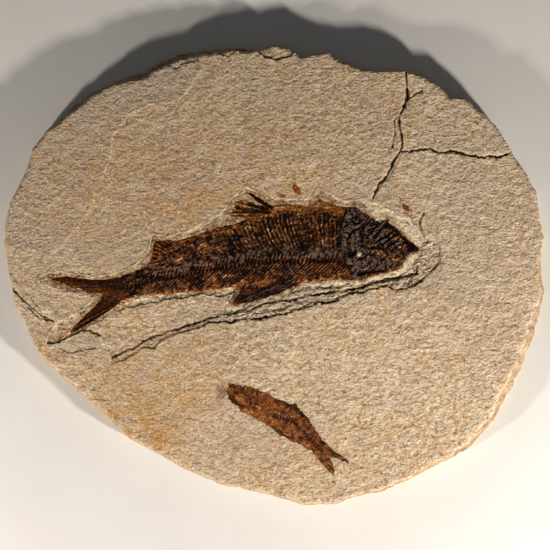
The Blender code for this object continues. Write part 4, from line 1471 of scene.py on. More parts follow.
LARGE_OUTLINE = Line((
    (98.2, 17.4), (94.2, 21.4), (91.4, 22.8), (88.8, 26.2), (83.4, 31.6), (77.2, 35), (78.6, 38),
    (74.4, 36.8), (71, 36), (67.6, 37), (65, 39.2), (62.2, 41.2), (58.2, 43.6), (55.4, 46), (51.4, 46.2),
    (47.2, 45.2), (43.2, 46.6), (37.8, 48.6), (33, 49.6), (30.2, 52), (28.2, 49.6), (25.6, 47.2), (22, 46.6),
    (15.2, 48), (9.2, 48.2), (3.8, 48), (-2.4, 46.6), (-5, 48.8), (-10.6, 52.4), (-15, 55.2),
    (-19.4, 58.4), (-19.8, 56.8), (-15.6, 52.6), (-10.4, 48.2), (-9.6, 46.6), (-14, 48.6), (-20, 50.4),
    (-26.2, 50.6), (-28.8, 44.6), (-31, 39.8), (-23.4, 39.2), (-18.8, 37.8), (-22.8, 36.4), (-31, 33.6),
    (-38.4, 33), (-41.2, 31.2), (-48.6, 28.6), (-57.4, 25.6), (-65.6, 23.4), (-71, 24.2), (-77.8, 23.8),
    (-82, 22), (-83.4, 18.8), (-83.4, 14.6), (-84.6, 9.8), (-87.4, 6.8), (-93.6, 3), (-98.2, 1),
    (-106.4, -1.4), (-118.6, -3), (-132.2, -2), (-141.8, -0.4), (-147.2, -1.4), (-155.4, -3),
    (-148.6, -5.4), (-141.2, -8.4), (-132.2, -10.8), (-126.8, -12), (-122, -13), (-118, -14.2),
    (-120, -18), (-124, -22.4), (-128.8, -26.2), (-135.6, -33.6), (-141.8, -39.8), (-147.2, -43.6),
    (-152, -45.2), (-147.2, -44.8), (-141.8, -42.4), (-133, -38), (-124, -32.6), (-114, -26.2), (-105, -20),
    (-96.8, -15), (-88, -13.2), (-74.4, -13.2), (-57.4, -12), (-43.8, -10.6), (-30.2, -8.8), (-24.2, -8.8),
    (-22.8, -11.2), (-27.6, -17.4), (-28.8, -20.8), (-23.4, -20), (-16.6, -18.8), (-6.4, -16), (3.8, -12.6),
    (10.6, -9.2), (15.2, -8.2), (17.4, -5.8), (20.8, -4.8), (37.8, -3.8), (56.8, -3.8), (61.6, -3),
    (71.8, 0.4), (82.6, 2.8), (86, 5.2), (88, 8.4), (90.8, 12.2), (92.8, 15), (96.8, 15.2),
), closed=True)


# The gill cover's edge, where the trunk ends and the head starts.
GILL_EDGE: Points = (
    (54, -6), (53.4, -3.7), (51.3, 3), (48, 8.5), (45.2, 16.7), (43.9, 23.5), (44.5, 33.7), (48, 44),
    (50, 50),
)


@dataclass(frozen=True)
class Stroke:
    """One bone's edge, a groove between bones, or a black ray.

    Attributes:
        points: Its path.
        width: Its half width.
        rise: How far it stands up, or sinks where negative.
        soot: How much it blackens.
        rust: How much it reddens.
        ash: How much of the grey film it carries.
    """

    points: Points
    width: float
    rise: float
    soot: float = 0.0
    rust: float = 0.0
    ash: float = 0.0


HEAD_STROKES: tuple[Stroke, ...] = (
    Stroke(((48.5, 43.5), (45.4, 35.7), (43.9, 26.2), (44.6, 18), (47.3, 10.5), (50.7, 4.4), (53.4, -3)),
           0.8, -0.3, soot=0.9),
    Stroke(((62.9, 37.1), (55.4, 33), (51, 31.7), (48.2, 27.2), (47.2, 20.4), (48.5, 14)),
           0.85, 0.26, ash=0.9),
    Stroke(((64.5, 35.6), (57, 31.2), (53, 29.4), (50.3, 25.5), (49.5, 20)), 0.7, -0.25, soot=0.9),
    Stroke(((50.5, 43), (52.6, 38.5), (57.5, 38)), 0.8, 0.22, ash=0.7),
    Stroke(((73.6, 35.2), (68.5, 29.7), (63.7, 24.2)), 0.75, 0.3, ash=1.0),
    Stroke(((72, 35.8), (66.8, 30.2), (62.2, 24.8)), 0.6, -0.28, soot=0.95),
    Stroke(((75.6, 34.5), (70.4, 28.6), (66, 23.2)), 0.6, -0.22, soot=0.8),
    Stroke(((61.5, 34.3), (58.8, 27.5), (59.5, 20.7), (57.5, 17)), 0.7, -0.25, soot=0.8),
    Stroke(((63.5, 32), (61, 27.5), (61.7, 21), (60.6, 18)), 0.7, 0.2, ash=0.6),
    Stroke(((65.5, 18.4), (69.5, 18.4), (73.5, 17.4), (77.2, 13.7)), 0.75, -0.28, soot=1.0),
    Stroke(((71.8, 16.4), (74.2, 14), (76.5, 11.6)), 0.9, 0.22, rust=1.0),
    Stroke(((70.4, 23.5), (75.8, 26.2), (81.3, 29.6)), 0.6, -0.24, soot=0.95),
    Stroke(((71.7, 21.5), (79.2, 26.9), (83, 29)), 0.65, 0.26, ash=0.9),
    Stroke(((73.1, 20.7), (78.5, 24.1), (83.3, 26.9)), 0.55, -0.24, soot=0.95),
    Stroke(((73.7, 19.4), (81.9, 25.5), (84.5, 26.6)), 0.6, 0.26, ash=0.9),
    Stroke(((75.8, 18), (80.6, 21.4), (85.3, 24.8)), 0.6, -0.24, soot=0.95),
    Stroke(((77.4, 16.3), (79.4, 19), (83.6, 22)), 0.65, 0.26, ash=1.0),
    Stroke(((79.6, 15.4), (82, 18.4), (86, 20.6)), 0.6, -0.24, soot=0.9),
    Stroke(((75.8, 34.3), (81.3, 30.9), (86, 26.2), (90.8, 22.1), (95, 18.5)), 1.0, -0.28, soot=1.0),
    Stroke(((77.6, 36.2), (83.2, 32.6), (87.8, 27.8), (91.7, 23.6), (93.6, 21.4)), 1.1, 0.18, rust=1.3),
    Stroke(((82.4, 23.9), (84.5, 25), (87.5, 23.4)), 0.8, 0.2, rust=0.7),
    Stroke(((84.5, 18.5), (88, 19.3), (90.5, 17.2)), 1.3, 0.22, rust=0.9),
    Stroke(((80.5, 10.3), (84.5, 11.4), (87, 10)), 1.0, 0.16, rust=0.6),
    Stroke(((57, 0.6), (64, 1.6), (70.5, 2.6), (76, 2.9)), 0.9, -0.34, soot=1.0),
    Stroke(((56, 2.4), (63, 5.2), (69.7, 9.9)), 0.75, 0.24, ash=0.85),
    Stroke(((60, -1.4), (68, 0.2), (76, 2.2), (84, 5.4)), 0.8, 0.16, rust=0.6),
    Stroke(((74.5, 16.7), (79.9, 12.6), (85.3, 8.5)), 0.6, 0.14, rust=0.4),
    Stroke(((63.5, 31.5), (68, 34), (73, 32.5), (76, 29)), 0.6, 0.2, ash=0.6),
    Stroke(((51, 38), (55, 34.5), (60, 36)), 0.7, -0.24, soot=0.8),
    Stroke(((88, 22), (86, 17.5), (88.5, 12.5)), 0.7, -0.25, soot=0.9),
    Stroke(((91.5, 19.2), (95, 18.2), (97.5, 17.2)), 2.3, 0.14, soot=1.3),
    Stroke(((78.6, 38), (74.4, 36.6), (70, 36), (66.5, 38.5)), 0.8, -0.1, soot=1.1),
    Stroke(((51, 12), (54, 14.6), (56, 17)), 0.8, -0.2, soot=0.8),
    Stroke(((60.5, 9), (63, 12.2), (66, 10.4)), 0.6, 0.18, rust=0.6),
)
FIN_STROKES: tuple[Stroke, ...] = (
    Stroke(((-2, 45.2), (-5.8, 47.6), (-11, 51), (-15, 53.8), (-19.2, 57.4)), 1.0, 0.3, soot=1.2),
    Stroke(((-30, 39.6), (-27, 39.7), (-23.4, 40.2)), 0.6, -0.1, soot=0.9),
    Stroke(((-17, 47.6), (-10, 45.8), (-4, 43.6)), 1.1, -0.1, soot=0.8),
    Stroke(((-15, 43.8), (-8, 42.6), (-3, 42)), 0.9, -0.1, soot=0.8),
    Stroke(((-26, 45), (-19, 43.6), (-12, 42.4)), 0.6, -0.1, soot=0.6),
    Stroke(((-39, 32.5), (-33, 33), (-24, 36), (-19, 37)), 0.6, -0.2, soot=0.95),
    Stroke(((-77.5, 24), (-72, 24)), 0.5, -0.1, soot=0.9),
    Stroke(((-64, 25), (-60.5, 24.5)), 0.7, -0.2, soot=1.0),
    Stroke(((-76, 19), (-70, 20.5)), 0.8, -0.1, soot=0.9),
    Stroke(((-97.5, -14), (-94, -9.5), (-91.5, -6.5)), 0.7, -0.25, soot=0.95),
    Stroke(((-152, -44.8), (-141, -41), (-131, -36.3), (-121, -29.8), (-111, -23.5)), 0.6, -0.1, soot=0.85),
)
BLACK_BLOTS: Points = ((-30, 20.5), (-23.5, 25), (-24, 19.5))
PALE_SPECKS: Points = ((-56, 1.7), (-73.8, 6.8), (-50, 20), (-28.8, 29), (-71, 5))


@dataclass
class LargeFish:
    """The large fish, lying on its back: body, ribs, backbone, head bones, fins and forked tail in one sheet."""

    outline: Line = LARGE_OUTLINE.frayed(0.5, 401)
    underside: float = 13.9
    cell: float = 0.33
    edge: float = 1.3
    crown: float = 0.65
    rib_pitch: float = 2.9
    rib_sweep: float = 22.0
    rib_bend: float = 17.0
    vertebra: float = 2.7
    tail_x: float = -98.0
    tail_apex: tuple[float, float] = (-84.5, -7.5)
    eye: tuple[float, float] = (68.3, 14.0)
    eye_radius: float = 2.7
    glint: tuple[float, float] = (57.4, 13.8)

    def strokes(self, strokes: Sequence[Stroke], x: Field, y: Field) -> dict[str, Field]:
        """Adds up the relief and colour of a set of strokes."""
        wx = x + 0.35 * Wander(3.0, 3.0, 201).at(x, y)
        wy = y + 0.35 * Wander(3.0, 3.0, 202).at(x, y)
        total = {name: np.zeros_like(x) for name in ("rise", "soot", "rust", "ash")}
        for stroke in strokes:
            off, _, along = Line(smooth_line(stroke.points, 3)).nearest(wx, wy)
            form = bell(off, stroke.width) * (0.4 + 0.6 * ramp(1.0 - along, 0.0, 0.2))
            total["rise"] += stroke.rise * form
            total["soot"] = np.maximum(total["soot"], stroke.soot * form)
            total["rust"] = np.maximum(total["rust"], stroke.rust * form)
            total["ash"] = np.maximum(total["ash"], stroke.ash * form)
        return total

    def lay_of_land(self, x: Field, y: Field) -> dict[str, Field]:
        """Measures places against the fish's own lines.

        Args:
            x: Places along X.
            y: Places along Y.

        Returns:
            Height over the backbone, share of the way to the body's edge, how far past the gill cover, how
            much each place belongs to the body, the head and the trunk, and three sizes of noise.
        """
        spine, belly, back = (level_at(line, x) for line in (BACKBONE, BELLY_EDGE, BACK_EDGE))
        above = y - spine
        share = np.where(above > 0, above / (belly - spine + 0.01), -above / (spine - back + 0.01))
        body = ramp(1.06 - share, 0.0, 0.1) * ramp(x, self.tail_x - 9, self.tail_x + 3)
        gill = np.array(GILL_EDGE)
        past_gill = x - np.interp(y, gill[:, 1], gill[:, 0])
        mid = Wander(2.6, 1.9, 212, 30).at(x, y)
        head = ramp(past_gill + 0.9 * mid, -0.7, 0.7)
        return {"above": above, "share": share, "body": body, "past_gill": past_gill, "head": head * body,
                "trunk": body * (1.0 - head), "off_head": 1.0 - head, "rim": self.outline.nearest(x, y)[0],
                "fine": Wander(1.15, 0.85, 211, 40).at(x, y), "mid": mid,
                "broad": Wander(9.0, 5.0, 213, 8).at(x, y)}

    def trunk(self, x: Field, y: Field, lay: dict[str, Field]) -> dict[str, Field]:
        """Works out the ribs, spines, backbone and skin of the trunk.

        Args:
            x: Places along X.
            y: Places along Y.
            lay: The places measured against the fish's own lines.

        Returns:
            What the trunk adds to the height, the tone and the ash.
        """
        above, share, trunk, mid, broad = (lay[name] for name in ("above", "share", "trunk", "mid", "broad"))
        lower = np.clip(-above, 0.0, None)
        patch = np.clip(0.8 + 0.8 * Wander(15.0, 10.0, 215).at(x, y) + 0.35 * mid, 0.15, 1.15)

        # Ribs: they leave the backbone toward the tail and straighten up toward the belly edge.
        sweep = self.rib_sweep * (1.0 - ramp(x, 0.0, 40.0) * 0.92)
        climb = np.exp(-np.clip(above, 0, None) / self.rib_bend) - math.exp(-27.0 / self.rib_bend)
        line, gap = Comb(self.rib_pitch, 0.22, 240).at(x - sweep * climb + 0.3 * mid + 0.6 * broad)
        ribs = trunk * ramp(above, 6.0, 12.0) * ramp(0.95 - share, 0.0, 0.08)
        ribs *= 0.35 + 0.65 * ramp(x, -60, 5)
        broken = np.clip(0.75 + 1.2 * Wander(3.2, 2.6, 217).at(x, y), 0.0, 1.3)
        thread = Comb(1.25, 0.3, 244).at(x - sweep * climb + 0.4 * mid)[1]
        height = ribs * (0.26 * gap + 0.12 * thread - 0.34 * line)
        quiet = 1.0 - 0.4 * ramp(x, 8.0, 30.0)
        tone = ribs * quiet * (0.6 * gap * patch * broken + 0.5 * thread * broken
                               - 0.8 * line * (0.4 + 0.6 * broken))
        tone -= 0.05 * ribs + 0.3 * ribs * ramp(Wander(12.0, 1.6, 246, 8).at(x, y), 0.1, 0.6)
        ash = 0.5 * ribs * bell(line - 0.5, 0.3) * np.clip(0.2 + mid, 0.0, 1.0)

        # Spines on the back side lean the other way, closer set, with hairs between them.
        needle, between = Comb(self.vertebra, 0.24, 241).at(x + 1.05 * lower + 0.4 * mid)
        hair, glow = Comb(1.6, 0.24, 242).at(x + 1.5 * lower + 0.5 * mid)
        spines = trunk * ramp(lower, 0.8, 2.0) * ramp(1.0 - share, 0.0, 0.22)
        near = bell(lower - 2.0, 6.0)
        height += spines * (0.2 * between - 0.26 * needle * (0.4 + near) + 0.1 * glow - 0.12 * hair)
        worn = np.clip(0.7 + 1.1 * Wander(4.5, 2.2, 219, -20).at(x, y), 0.1, 1.3)
        tone += spines * (0.2 * between - 0.66 * needle * (0.25 + near) * (0.4 + 0.6 * worn)
                          + 0.5 * glow * patch * worn - 0.3 * hair)

        # Backbone: black beads in a groove, with short upright teeth and a grey mottled band over them.
        bead = ramp(0.5 + 0.5 * np.cos(math.tau * (x + 0.35 * mid) / self.vertebra), 0.25, 0.75)
        tooth, chip = Comb(self.vertebra * 0.92, 0.26, 243).at(x - 0.35 * above + 0.3 * mid)
        spine = trunk * ramp(-lay["past_gill"], 0.0, 6.0)
        groove, column = bell(above + 0.1, 1.15), bell(above - 2.9, 2.2)
        height += spine * (column * (0.3 * chip - 0.4 * tooth + 0.14) - 0.5 * groove * (0.25 + 0.75 * bead))
        tone += spine * (column * (0.24 * chip - 0.6 * tooth) - groove * (0.85 * bead + 0.05))
        mottled = 0.6 * bell(above - 6.0, 3.2) * ramp(mid + 0.6 * broad, 0.0, 0.5)
        ash += spine * (mottled + 0.45 * column * chip)
        ash += 0.3 * trunk * ramp(mid - 0.4 * broad, 0.1, 0.6) + 0.12 * trunk * bell(above - 6.0, 6.0)
        ash *= 1.0 - spine * groove
        tone -= 0.1 * trunk * bell(above - 7.0, 5.0)
        # Toward the tail the last vertebrae and rays run together into lines along the body.
        cord, slit = Comb(1.7, 0.26, 245).at(above + 0.3 * mid)
        stem = trunk * ramp(-x, 84.0, 96.0)
        height += stem * (0.2 * cord - 0.25 * slit)
        tone += stem * (0.3 * slit - 0.35 * cord)
        ash *= 1.0 - 0.7 * stem

        # Skin: a smooth golden strip along the belly and a rusty fringe along the back.
        golden = trunk * ramp(share + 0.07 * mid, 0.79, 0.9) * (above > 0) * ramp(x, -26, -8)
        waves = Wander(13.0, 1.3, 231, 4).at(x, y)
        height += golden * 0.12 * waves
        fringe = trunk * ramp(share + 0.12 * mid, 0.74, 0.98) * (above < 0)
        fringe *= ramp(x, -92, -80) * ramp(52 - x, 0, 10)
        far_edge = trunk * ramp(share + 0.12 * mid, 0.78, 1.0) * (above > 0) * ramp(-x, 18, 26)
        return {"height": height, "tone": tone, "ash": ash * (1 - golden), "golden": golden, "fringe": fringe,
                "far_edge": far_edge, "waves": waves, "patch": patch}

    def fins(self, x: Field, y: Field, lay: dict[str, Field]) -> dict[str, Field]:
        """Works out the forked tail and the fins, whose rays spread from where they are rooted.

        Args:
            x: Places along X.
            y: Places along Y.
            lay: The places measured against the fish's own lines.

        Returns:
            Each fin's share of a place, and the tone and height that its rays give it.
        """
        above, share, rim, mid, broad = (lay[name] for name in ("above", "share", "rim", "mid", "broad"))
        tail = ramp(self.tail_x - x, -4.0, 5.0)
        spread = np.degrees(np.arctan2(y - self.tail_apex[1], -(x - self.tail_apex[0])))
        line, gap = Comb(2.6, 0.24, 250).at(spread + 0.5 * broad)
        low_lobe = ramp(-y - 0.25 * (x + 120), 14.0, 17.0)
        upper_core = bell(rim, 0.8) * 0.12 + 0.06 * gap - 0.1 * line
        upper_core += 0.22 * ramp(-y - 0.2 * (x + 125), 4.5, 9.0)
        lower_rays = 0.04 + 0.5 * gap - 0.34 * line + 0.25 * bell(rim, 1.2)
        under = ramp(-y - 0.18 * (x + 150.0), 3.5, 6.5) * ramp(1.2 + 1.1 * mid - rim, 0.0, 0.9)
        under *= 1.0 - 0.6 * low_lobe
        tail_tone = 0.17 + 0.4 * under + (1 - low_lobe) * upper_core + low_lobe * lower_rays + 0.12 * mid
        tail_height = (0.26 * gap - 0.3 * line) * (0.45 + 0.55 * low_lobe)

        near_fin = ramp(x, -34, -30) * ramp(15 - x, 0, 5) * ramp(0.466 * x - 5.2 + 0.6 * mid - y, -0.6, 0.6)
        line, gap = Comb(1.7, 0.24, 251).at(y - 0.42 * x + 0.4 * mid)
        near_fin_tone = 0.16 - 0.08 * ramp(x, -25, -12) + 0.34 * gap - 0.34 * line
        near_fin_tone += 0.12 * broad + 0.3 * ramp(-21 - x, 0, 7)
        near_fin_height = 0.2 + 0.26 * gap - 0.32 * line
        near_fin_ash = (0.3 + 0.75 * gap) * ramp(x, -25, -16)

        far_fins = ramp(share, 1.0, 1.12) * (1.0 - tail) * lay["off_head"] * (above > 0)
        root = np.degrees(np.arctan2(y - 41.0, -(x - 6.0)))
        rear_root = np.degrees(np.arctan2(y - 7.0, -(x + 56.0)))
        line, gap = Comb(6.0, 0.22, 252).at(np.where(x > -45, root + 1.6 * mid, rear_root + 1.8 * mid))
        far_fins_tone = 0.46 + 0.34 * gap - 0.42 * line + 0.15 * ramp(x, -48, -40) + 0.1 * mid
        far_fins_height = 0.2 * gap - 0.3 * line
        return {"tail": tail, "tail_tone": tail_tone, "tail_height": tail_height,
                "near_fin": near_fin, "near_fin_tone": near_fin_tone, "near_fin_height": near_fin_height,
                "near_fin_ash": near_fin_ash, "far_fins": far_fins, "far_fins_tone": far_fins_tone,
                "far_fins_height": far_fins_height}

    def skull(self, x: Field, y: Field, lay: dict[str, Field]) -> dict[str, Field]:
        """Works out the head: rough bones, their edges, the eye, and behind it a glint painted as a highlight on
        a small bump, with painted shade beside it.

        Args:
            x: Places along X.
            y: Places along Y.
            lay: The places measured against the fish's own lines.

        Returns:
            The head's height, tone and ash.
        """
        fine, mid = lay["fine"], lay["mid"]
        plates = Wander(8.0, 5.0, 221, 35).at(x, y)
        streak = 0.6 - 2.2 * np.abs(Wander(6.5, 2.3, 222, 42).at(x, y))
        cross = 0.6 - 2.2 * np.abs(Wander(5.5, 2.1, 223, -50).at(x, y))
        rough = np.maximum(streak, cross)
        marks = self.strokes(HEAD_STROKES, x, y)
        from_eye = np.hypot(x - self.eye[0], (y - self.eye[1]) * 1.1)
        round_eye = np.degrees(np.arctan2(y - self.eye[1], x - self.eye[0]))
        # The eye's ring carries a painted highlight on its lit arcs and painted shade round the rest of it.
        ring = bell(from_eye - self.eye_radius, 0.65)
        lit = ring * np.maximum(bell(round_eye - 20, 38), 0.9 * bell(round_eye - 122, 30))
        iris = bell(from_eye, 1.9)
        # The glint is a painted highlight on a small bump behind the eye, with painted shade in the pits beside
        # it.
        shaded_pit = bell(np.hypot((x - self.glint[0] + 4.6) / 2.2, y - self.glint[1] - 0.6), 1.7)
        shaded_pit = np.maximum(shaded_pit, bell(np.hypot(x - self.glint[0] - 1.3, y - self.glint[1] + 2.6), 1.0))
        bead = bell(np.hypot(x - self.glint[0], y - self.glint[1]), 1.25)
        height = 0.3 * rough + 0.14 * plates + 0.1 * fine + 1.7 * marks["rise"]
        height += 0.5 * lit + 0.25 * iris - 0.35 * ring * (1 - lit) - 0.9 * shaded_pit + 0.7 * bead
        red = ramp(x, 74, 90) + ramp(-y + 0.25 * (x - 60), -9.0, 1.0) * ramp(x, 60, 72)
        red = kept(red)
        tone = 0.12 + 0.28 * rough + 0.34 * fine + 0.14 * mid + 0.11 * red * (0.6 + 1.4 * mid)
        tone += 0.45 * marks["rust"] - 0.34 * marks["soot"] + 0.6 * lit - 0.2 * ring * (1 - lit) - 0.45 * shaded_pit
        tone += 0.12 * iris
        ash = 0.15 + 0.75 * ramp(rough + 0.3 * fine, 0.05, 0.6) * (1.0 - 0.6 * red)
        ash += 0.8 * marks["ash"] - marks["soot"] - marks["rust"] - shaded_pit - iris - lit
        pale = bell(np.hypot((x - 53.5) / 1.6, y - 7.5), 3.4)
        ash += 0.6 * pale * (0.6 + mid)
        tone += 0.16 * pale * (0.6 + mid)
        return {"height": height, "tone": tone + 2.4 * bead, "ash": np.clip(ash, 0.0, 1.0) * (1 - bead)}

    def surface(self, x: Field, y: Field) -> tuple[Field, dict[str, Field]]:
        """Works out the fish's surface.

        Args:
            x: Places along X.
            y: Places along Y.

        Returns:
            The thickness at each place, and the masks its colour needs.
        """
        lay = self.lay_of_land(x, y)
        above, share, rim, head, trunk = (lay[name] for name in ("above", "share", "rim", "head", "trunk"))
        fine, mid, broad, pepper = lay["fine"], lay["mid"], lay["broad"], Wander(0.75, 0.75, 214).at(x, y)
        ribs, fins, skull = self.trunk(x, y, lay), self.fins(x, y, lay), self.skull(x, y, lay)
        marks = self.strokes(FIN_STROKES, x, y)

        height = self.edge + 0.12 * ramp(rim, 0.0, 1.2)
        dome = self.crown * (1.0 - np.clip(share, 0.0, 1.0) ** 2.3)
        height += lay["body"] * dome * np.where(x > 40, 0.35 + 0.65 * ramp(98.0 - x, -2.0, 22.0), 1.0)
        height += ribs["height"] + head * skull["height"] + (1 - head) * marks["rise"]
        for fin in ("tail", "near_fin", "far_fins"):
            height += fins[fin] * fins[fin + "_height"]
        # Everywhere: broken bone, scales and grit.
        height += (0.17 * fine + 0.14 * mid + 0.06 * broad + 0.12 * pepper) * ramp(rim, 0.0, 1.0)

        tone = 0.365 + 0.26 * broad + 0.2 * fine + 0.2 * mid + 0.12 * pepper + ribs["tone"]
        rear = trunk * ramp(-x, 15.0, 50.0)
        tone += rear * (0.4 * Wander(6.0, 1.1, 218, 18).at(x, y) * ramp(above, 0.0, 3.0) + 0.05 * broad)
        tone += 0.06 * bell(x + 62, 26) * (above > 0)
        tone += (0.63 + 0.26 * ribs["waves"] + 0.1 * fine - tone) * ribs["golden"]
        tone += (0.58 + 0.24 * mid + 0.1 * fine - tone) * 0.8 * ribs["fringe"]
        tone += (0.52 + 0.4 * mid + 0.1 * fine - tone) * 0.6 * ribs["far_edge"]
        for fin in ("tail", "near_fin", "far_fins"):
            tone += (fins[fin + "_tone"] + 0.1 * fine - tone) * fins[fin]
        tone -= marks["soot"] * (1 - head) * 0.9
        tone += (skull["tone"] - tone) * head
        for px, py in BLACK_BLOTS:
            tone -= 0.5 * bell(np.hypot(x - px, y - py), 1.6)
        # Cream specks as painted glints on the bone.
        tone += 0.3 * ramp(pepper + 0.5 * fine, 0.68, 0.9) * (0.3 + ribs["patch"]) * (1 - 0.5 * head)
        tone += 0.14 * np.clip(1.0 - rim / 0.8, 0.0, 1.0) * (0.5 + mid) * (1 - head) * (1 - fins["tail"])
        for px, py in PALE_SPECKS:
            tone += 0.8 * bell(np.hypot(x - px, y - py), 0.6)
        tone += 0.5 * bell(np.hypot((x - 50.5) / 1.2, y - 39.5), 0.9)
        gone = fins["tail"] * np.maximum(ramp(-x - 0.3 * (y + 44), 133, 139) * (y < -25),
                                         ramp(-x, 150, 154) * (y > -25))
        tone += (0.9 + 0.12 * mid + 0.1 * fine - tone) * gone
        ash = ribs["ash"] + fins["near_fin"] * fins["near_fin_ash"] * (1 - head)
        ash += (skull["ash"] - ash) * head
        return height, {"tone": tone, "ash": ash * (1 - gone)}

    def build(self, finish: FossilBone) -> bpy.types.Object:
        """Builds and dresses the fish.

        Args:
            finish: The bone's finish.

        Returns:
            The finished piece.
        """
        fish = raise_sheet("large_fish_relief", self.outline, self.cell, self.underside, self.surface)
        return stand_in(fish, finish.make(), "large_fish")


def raise_sheet(name: str, outline: Line, cell: float, underside: float,
                surface: Callable[[Field, Field], tuple[Field, dict[str, Field]]]) -> bpy.types.Object:
    """Makes a closed sheet in low relief within an outline.

    Args:
        name: The new object's name.
        outline: The closed line it fills.
        cell: The width of a cell of its surface.
        underside: The height of its underside.
        surface: Gives the thickness and the masks at each place.

    Returns:
        The sheet.
    """
    sheet = sheet_within(name, outline, cell, underside)
    draw_border_onto(sheet, outline)
    points = read_points(sheet)
    thickness, masks = surface(points[:, 0], points[:, 1])
    points[:, 2] += thickness
    write_points(sheet, points)
    paint(sheet, masks)
    thicken(sheet, 1.0)
    points = read_points(sheet)
    skirt = np.arange(len(points)) >= len(thickness)
    points[skirt, 2] = underside
    write_points(sheet, points)
    return sheet


# ---------------------------------------------------------------- the small fish and the scales

SMALL_OUTLINE = Line((
    (-32.4, -81.2), (-31.6, -75.4), (-30.2, -74.2), (-23.4, -75.2), (-18, -76.2), (-13.2, -77.2),
    (-5.8, -81.2), (3.8, -85.4), (9.2, -87.4), (10.6, -88), (14.6, -88), (17.4, -92.2), (22.8, -97.6),
    (26.2, -103.6), (31, -110.4), (37.8, -117.6), (42.4, -121.4), (46.6, -124), (50.6, -126.8),
    (49.2, -128.2), (43.2, -125.4), (37.8, -124), (39.8, -130.2), (41.2, -133.6), (39.8, -136.4),
    (35, -132.2), (31, -126.8), (24.8, -120), (21.4, -118.6), (17.4, -115.2), (10.6, -113.2), (7.8, -110.4),
    (4.4, -109.8), (0.4, -106.4), (-6.4, -101.6), (-13.2, -98), (-19.4, -94.2), (-22.8, -93.2),
    (-24.8, -89.8), (-28.8, -87.4), (-31.6, -84),
), closed=True)
SMALL_BACKBONE = smooth_line((
    (-31, -80), (-20, -87.5), (-8.5, -93.5), (-3, -95.5), (3.5, -97), (9, -98.5), (14, -101.5),
    (18.5, -105.5), (21.5, -110), (25.5, -114), (29.5, -117.5), (34, -121.5),
))


# Darker strips at the small fish's edge: the back fin's toothed base, and two stretches of belly painted as
# shadow along its near edge.
SMALL_DARK_EDGES: tuple[tuple[Points, float], ...] = (
    (((9.5, -89), (14.5, -90.5), (20, -96), (24.5, -99.5)), 1.3),
    (((-1.5, -104), (4, -107.5), (8.5, -110.5)), 1.0),
    (((-31.5, -82), (-28, -86.5), (-25, -88.5)), 0.8),
)


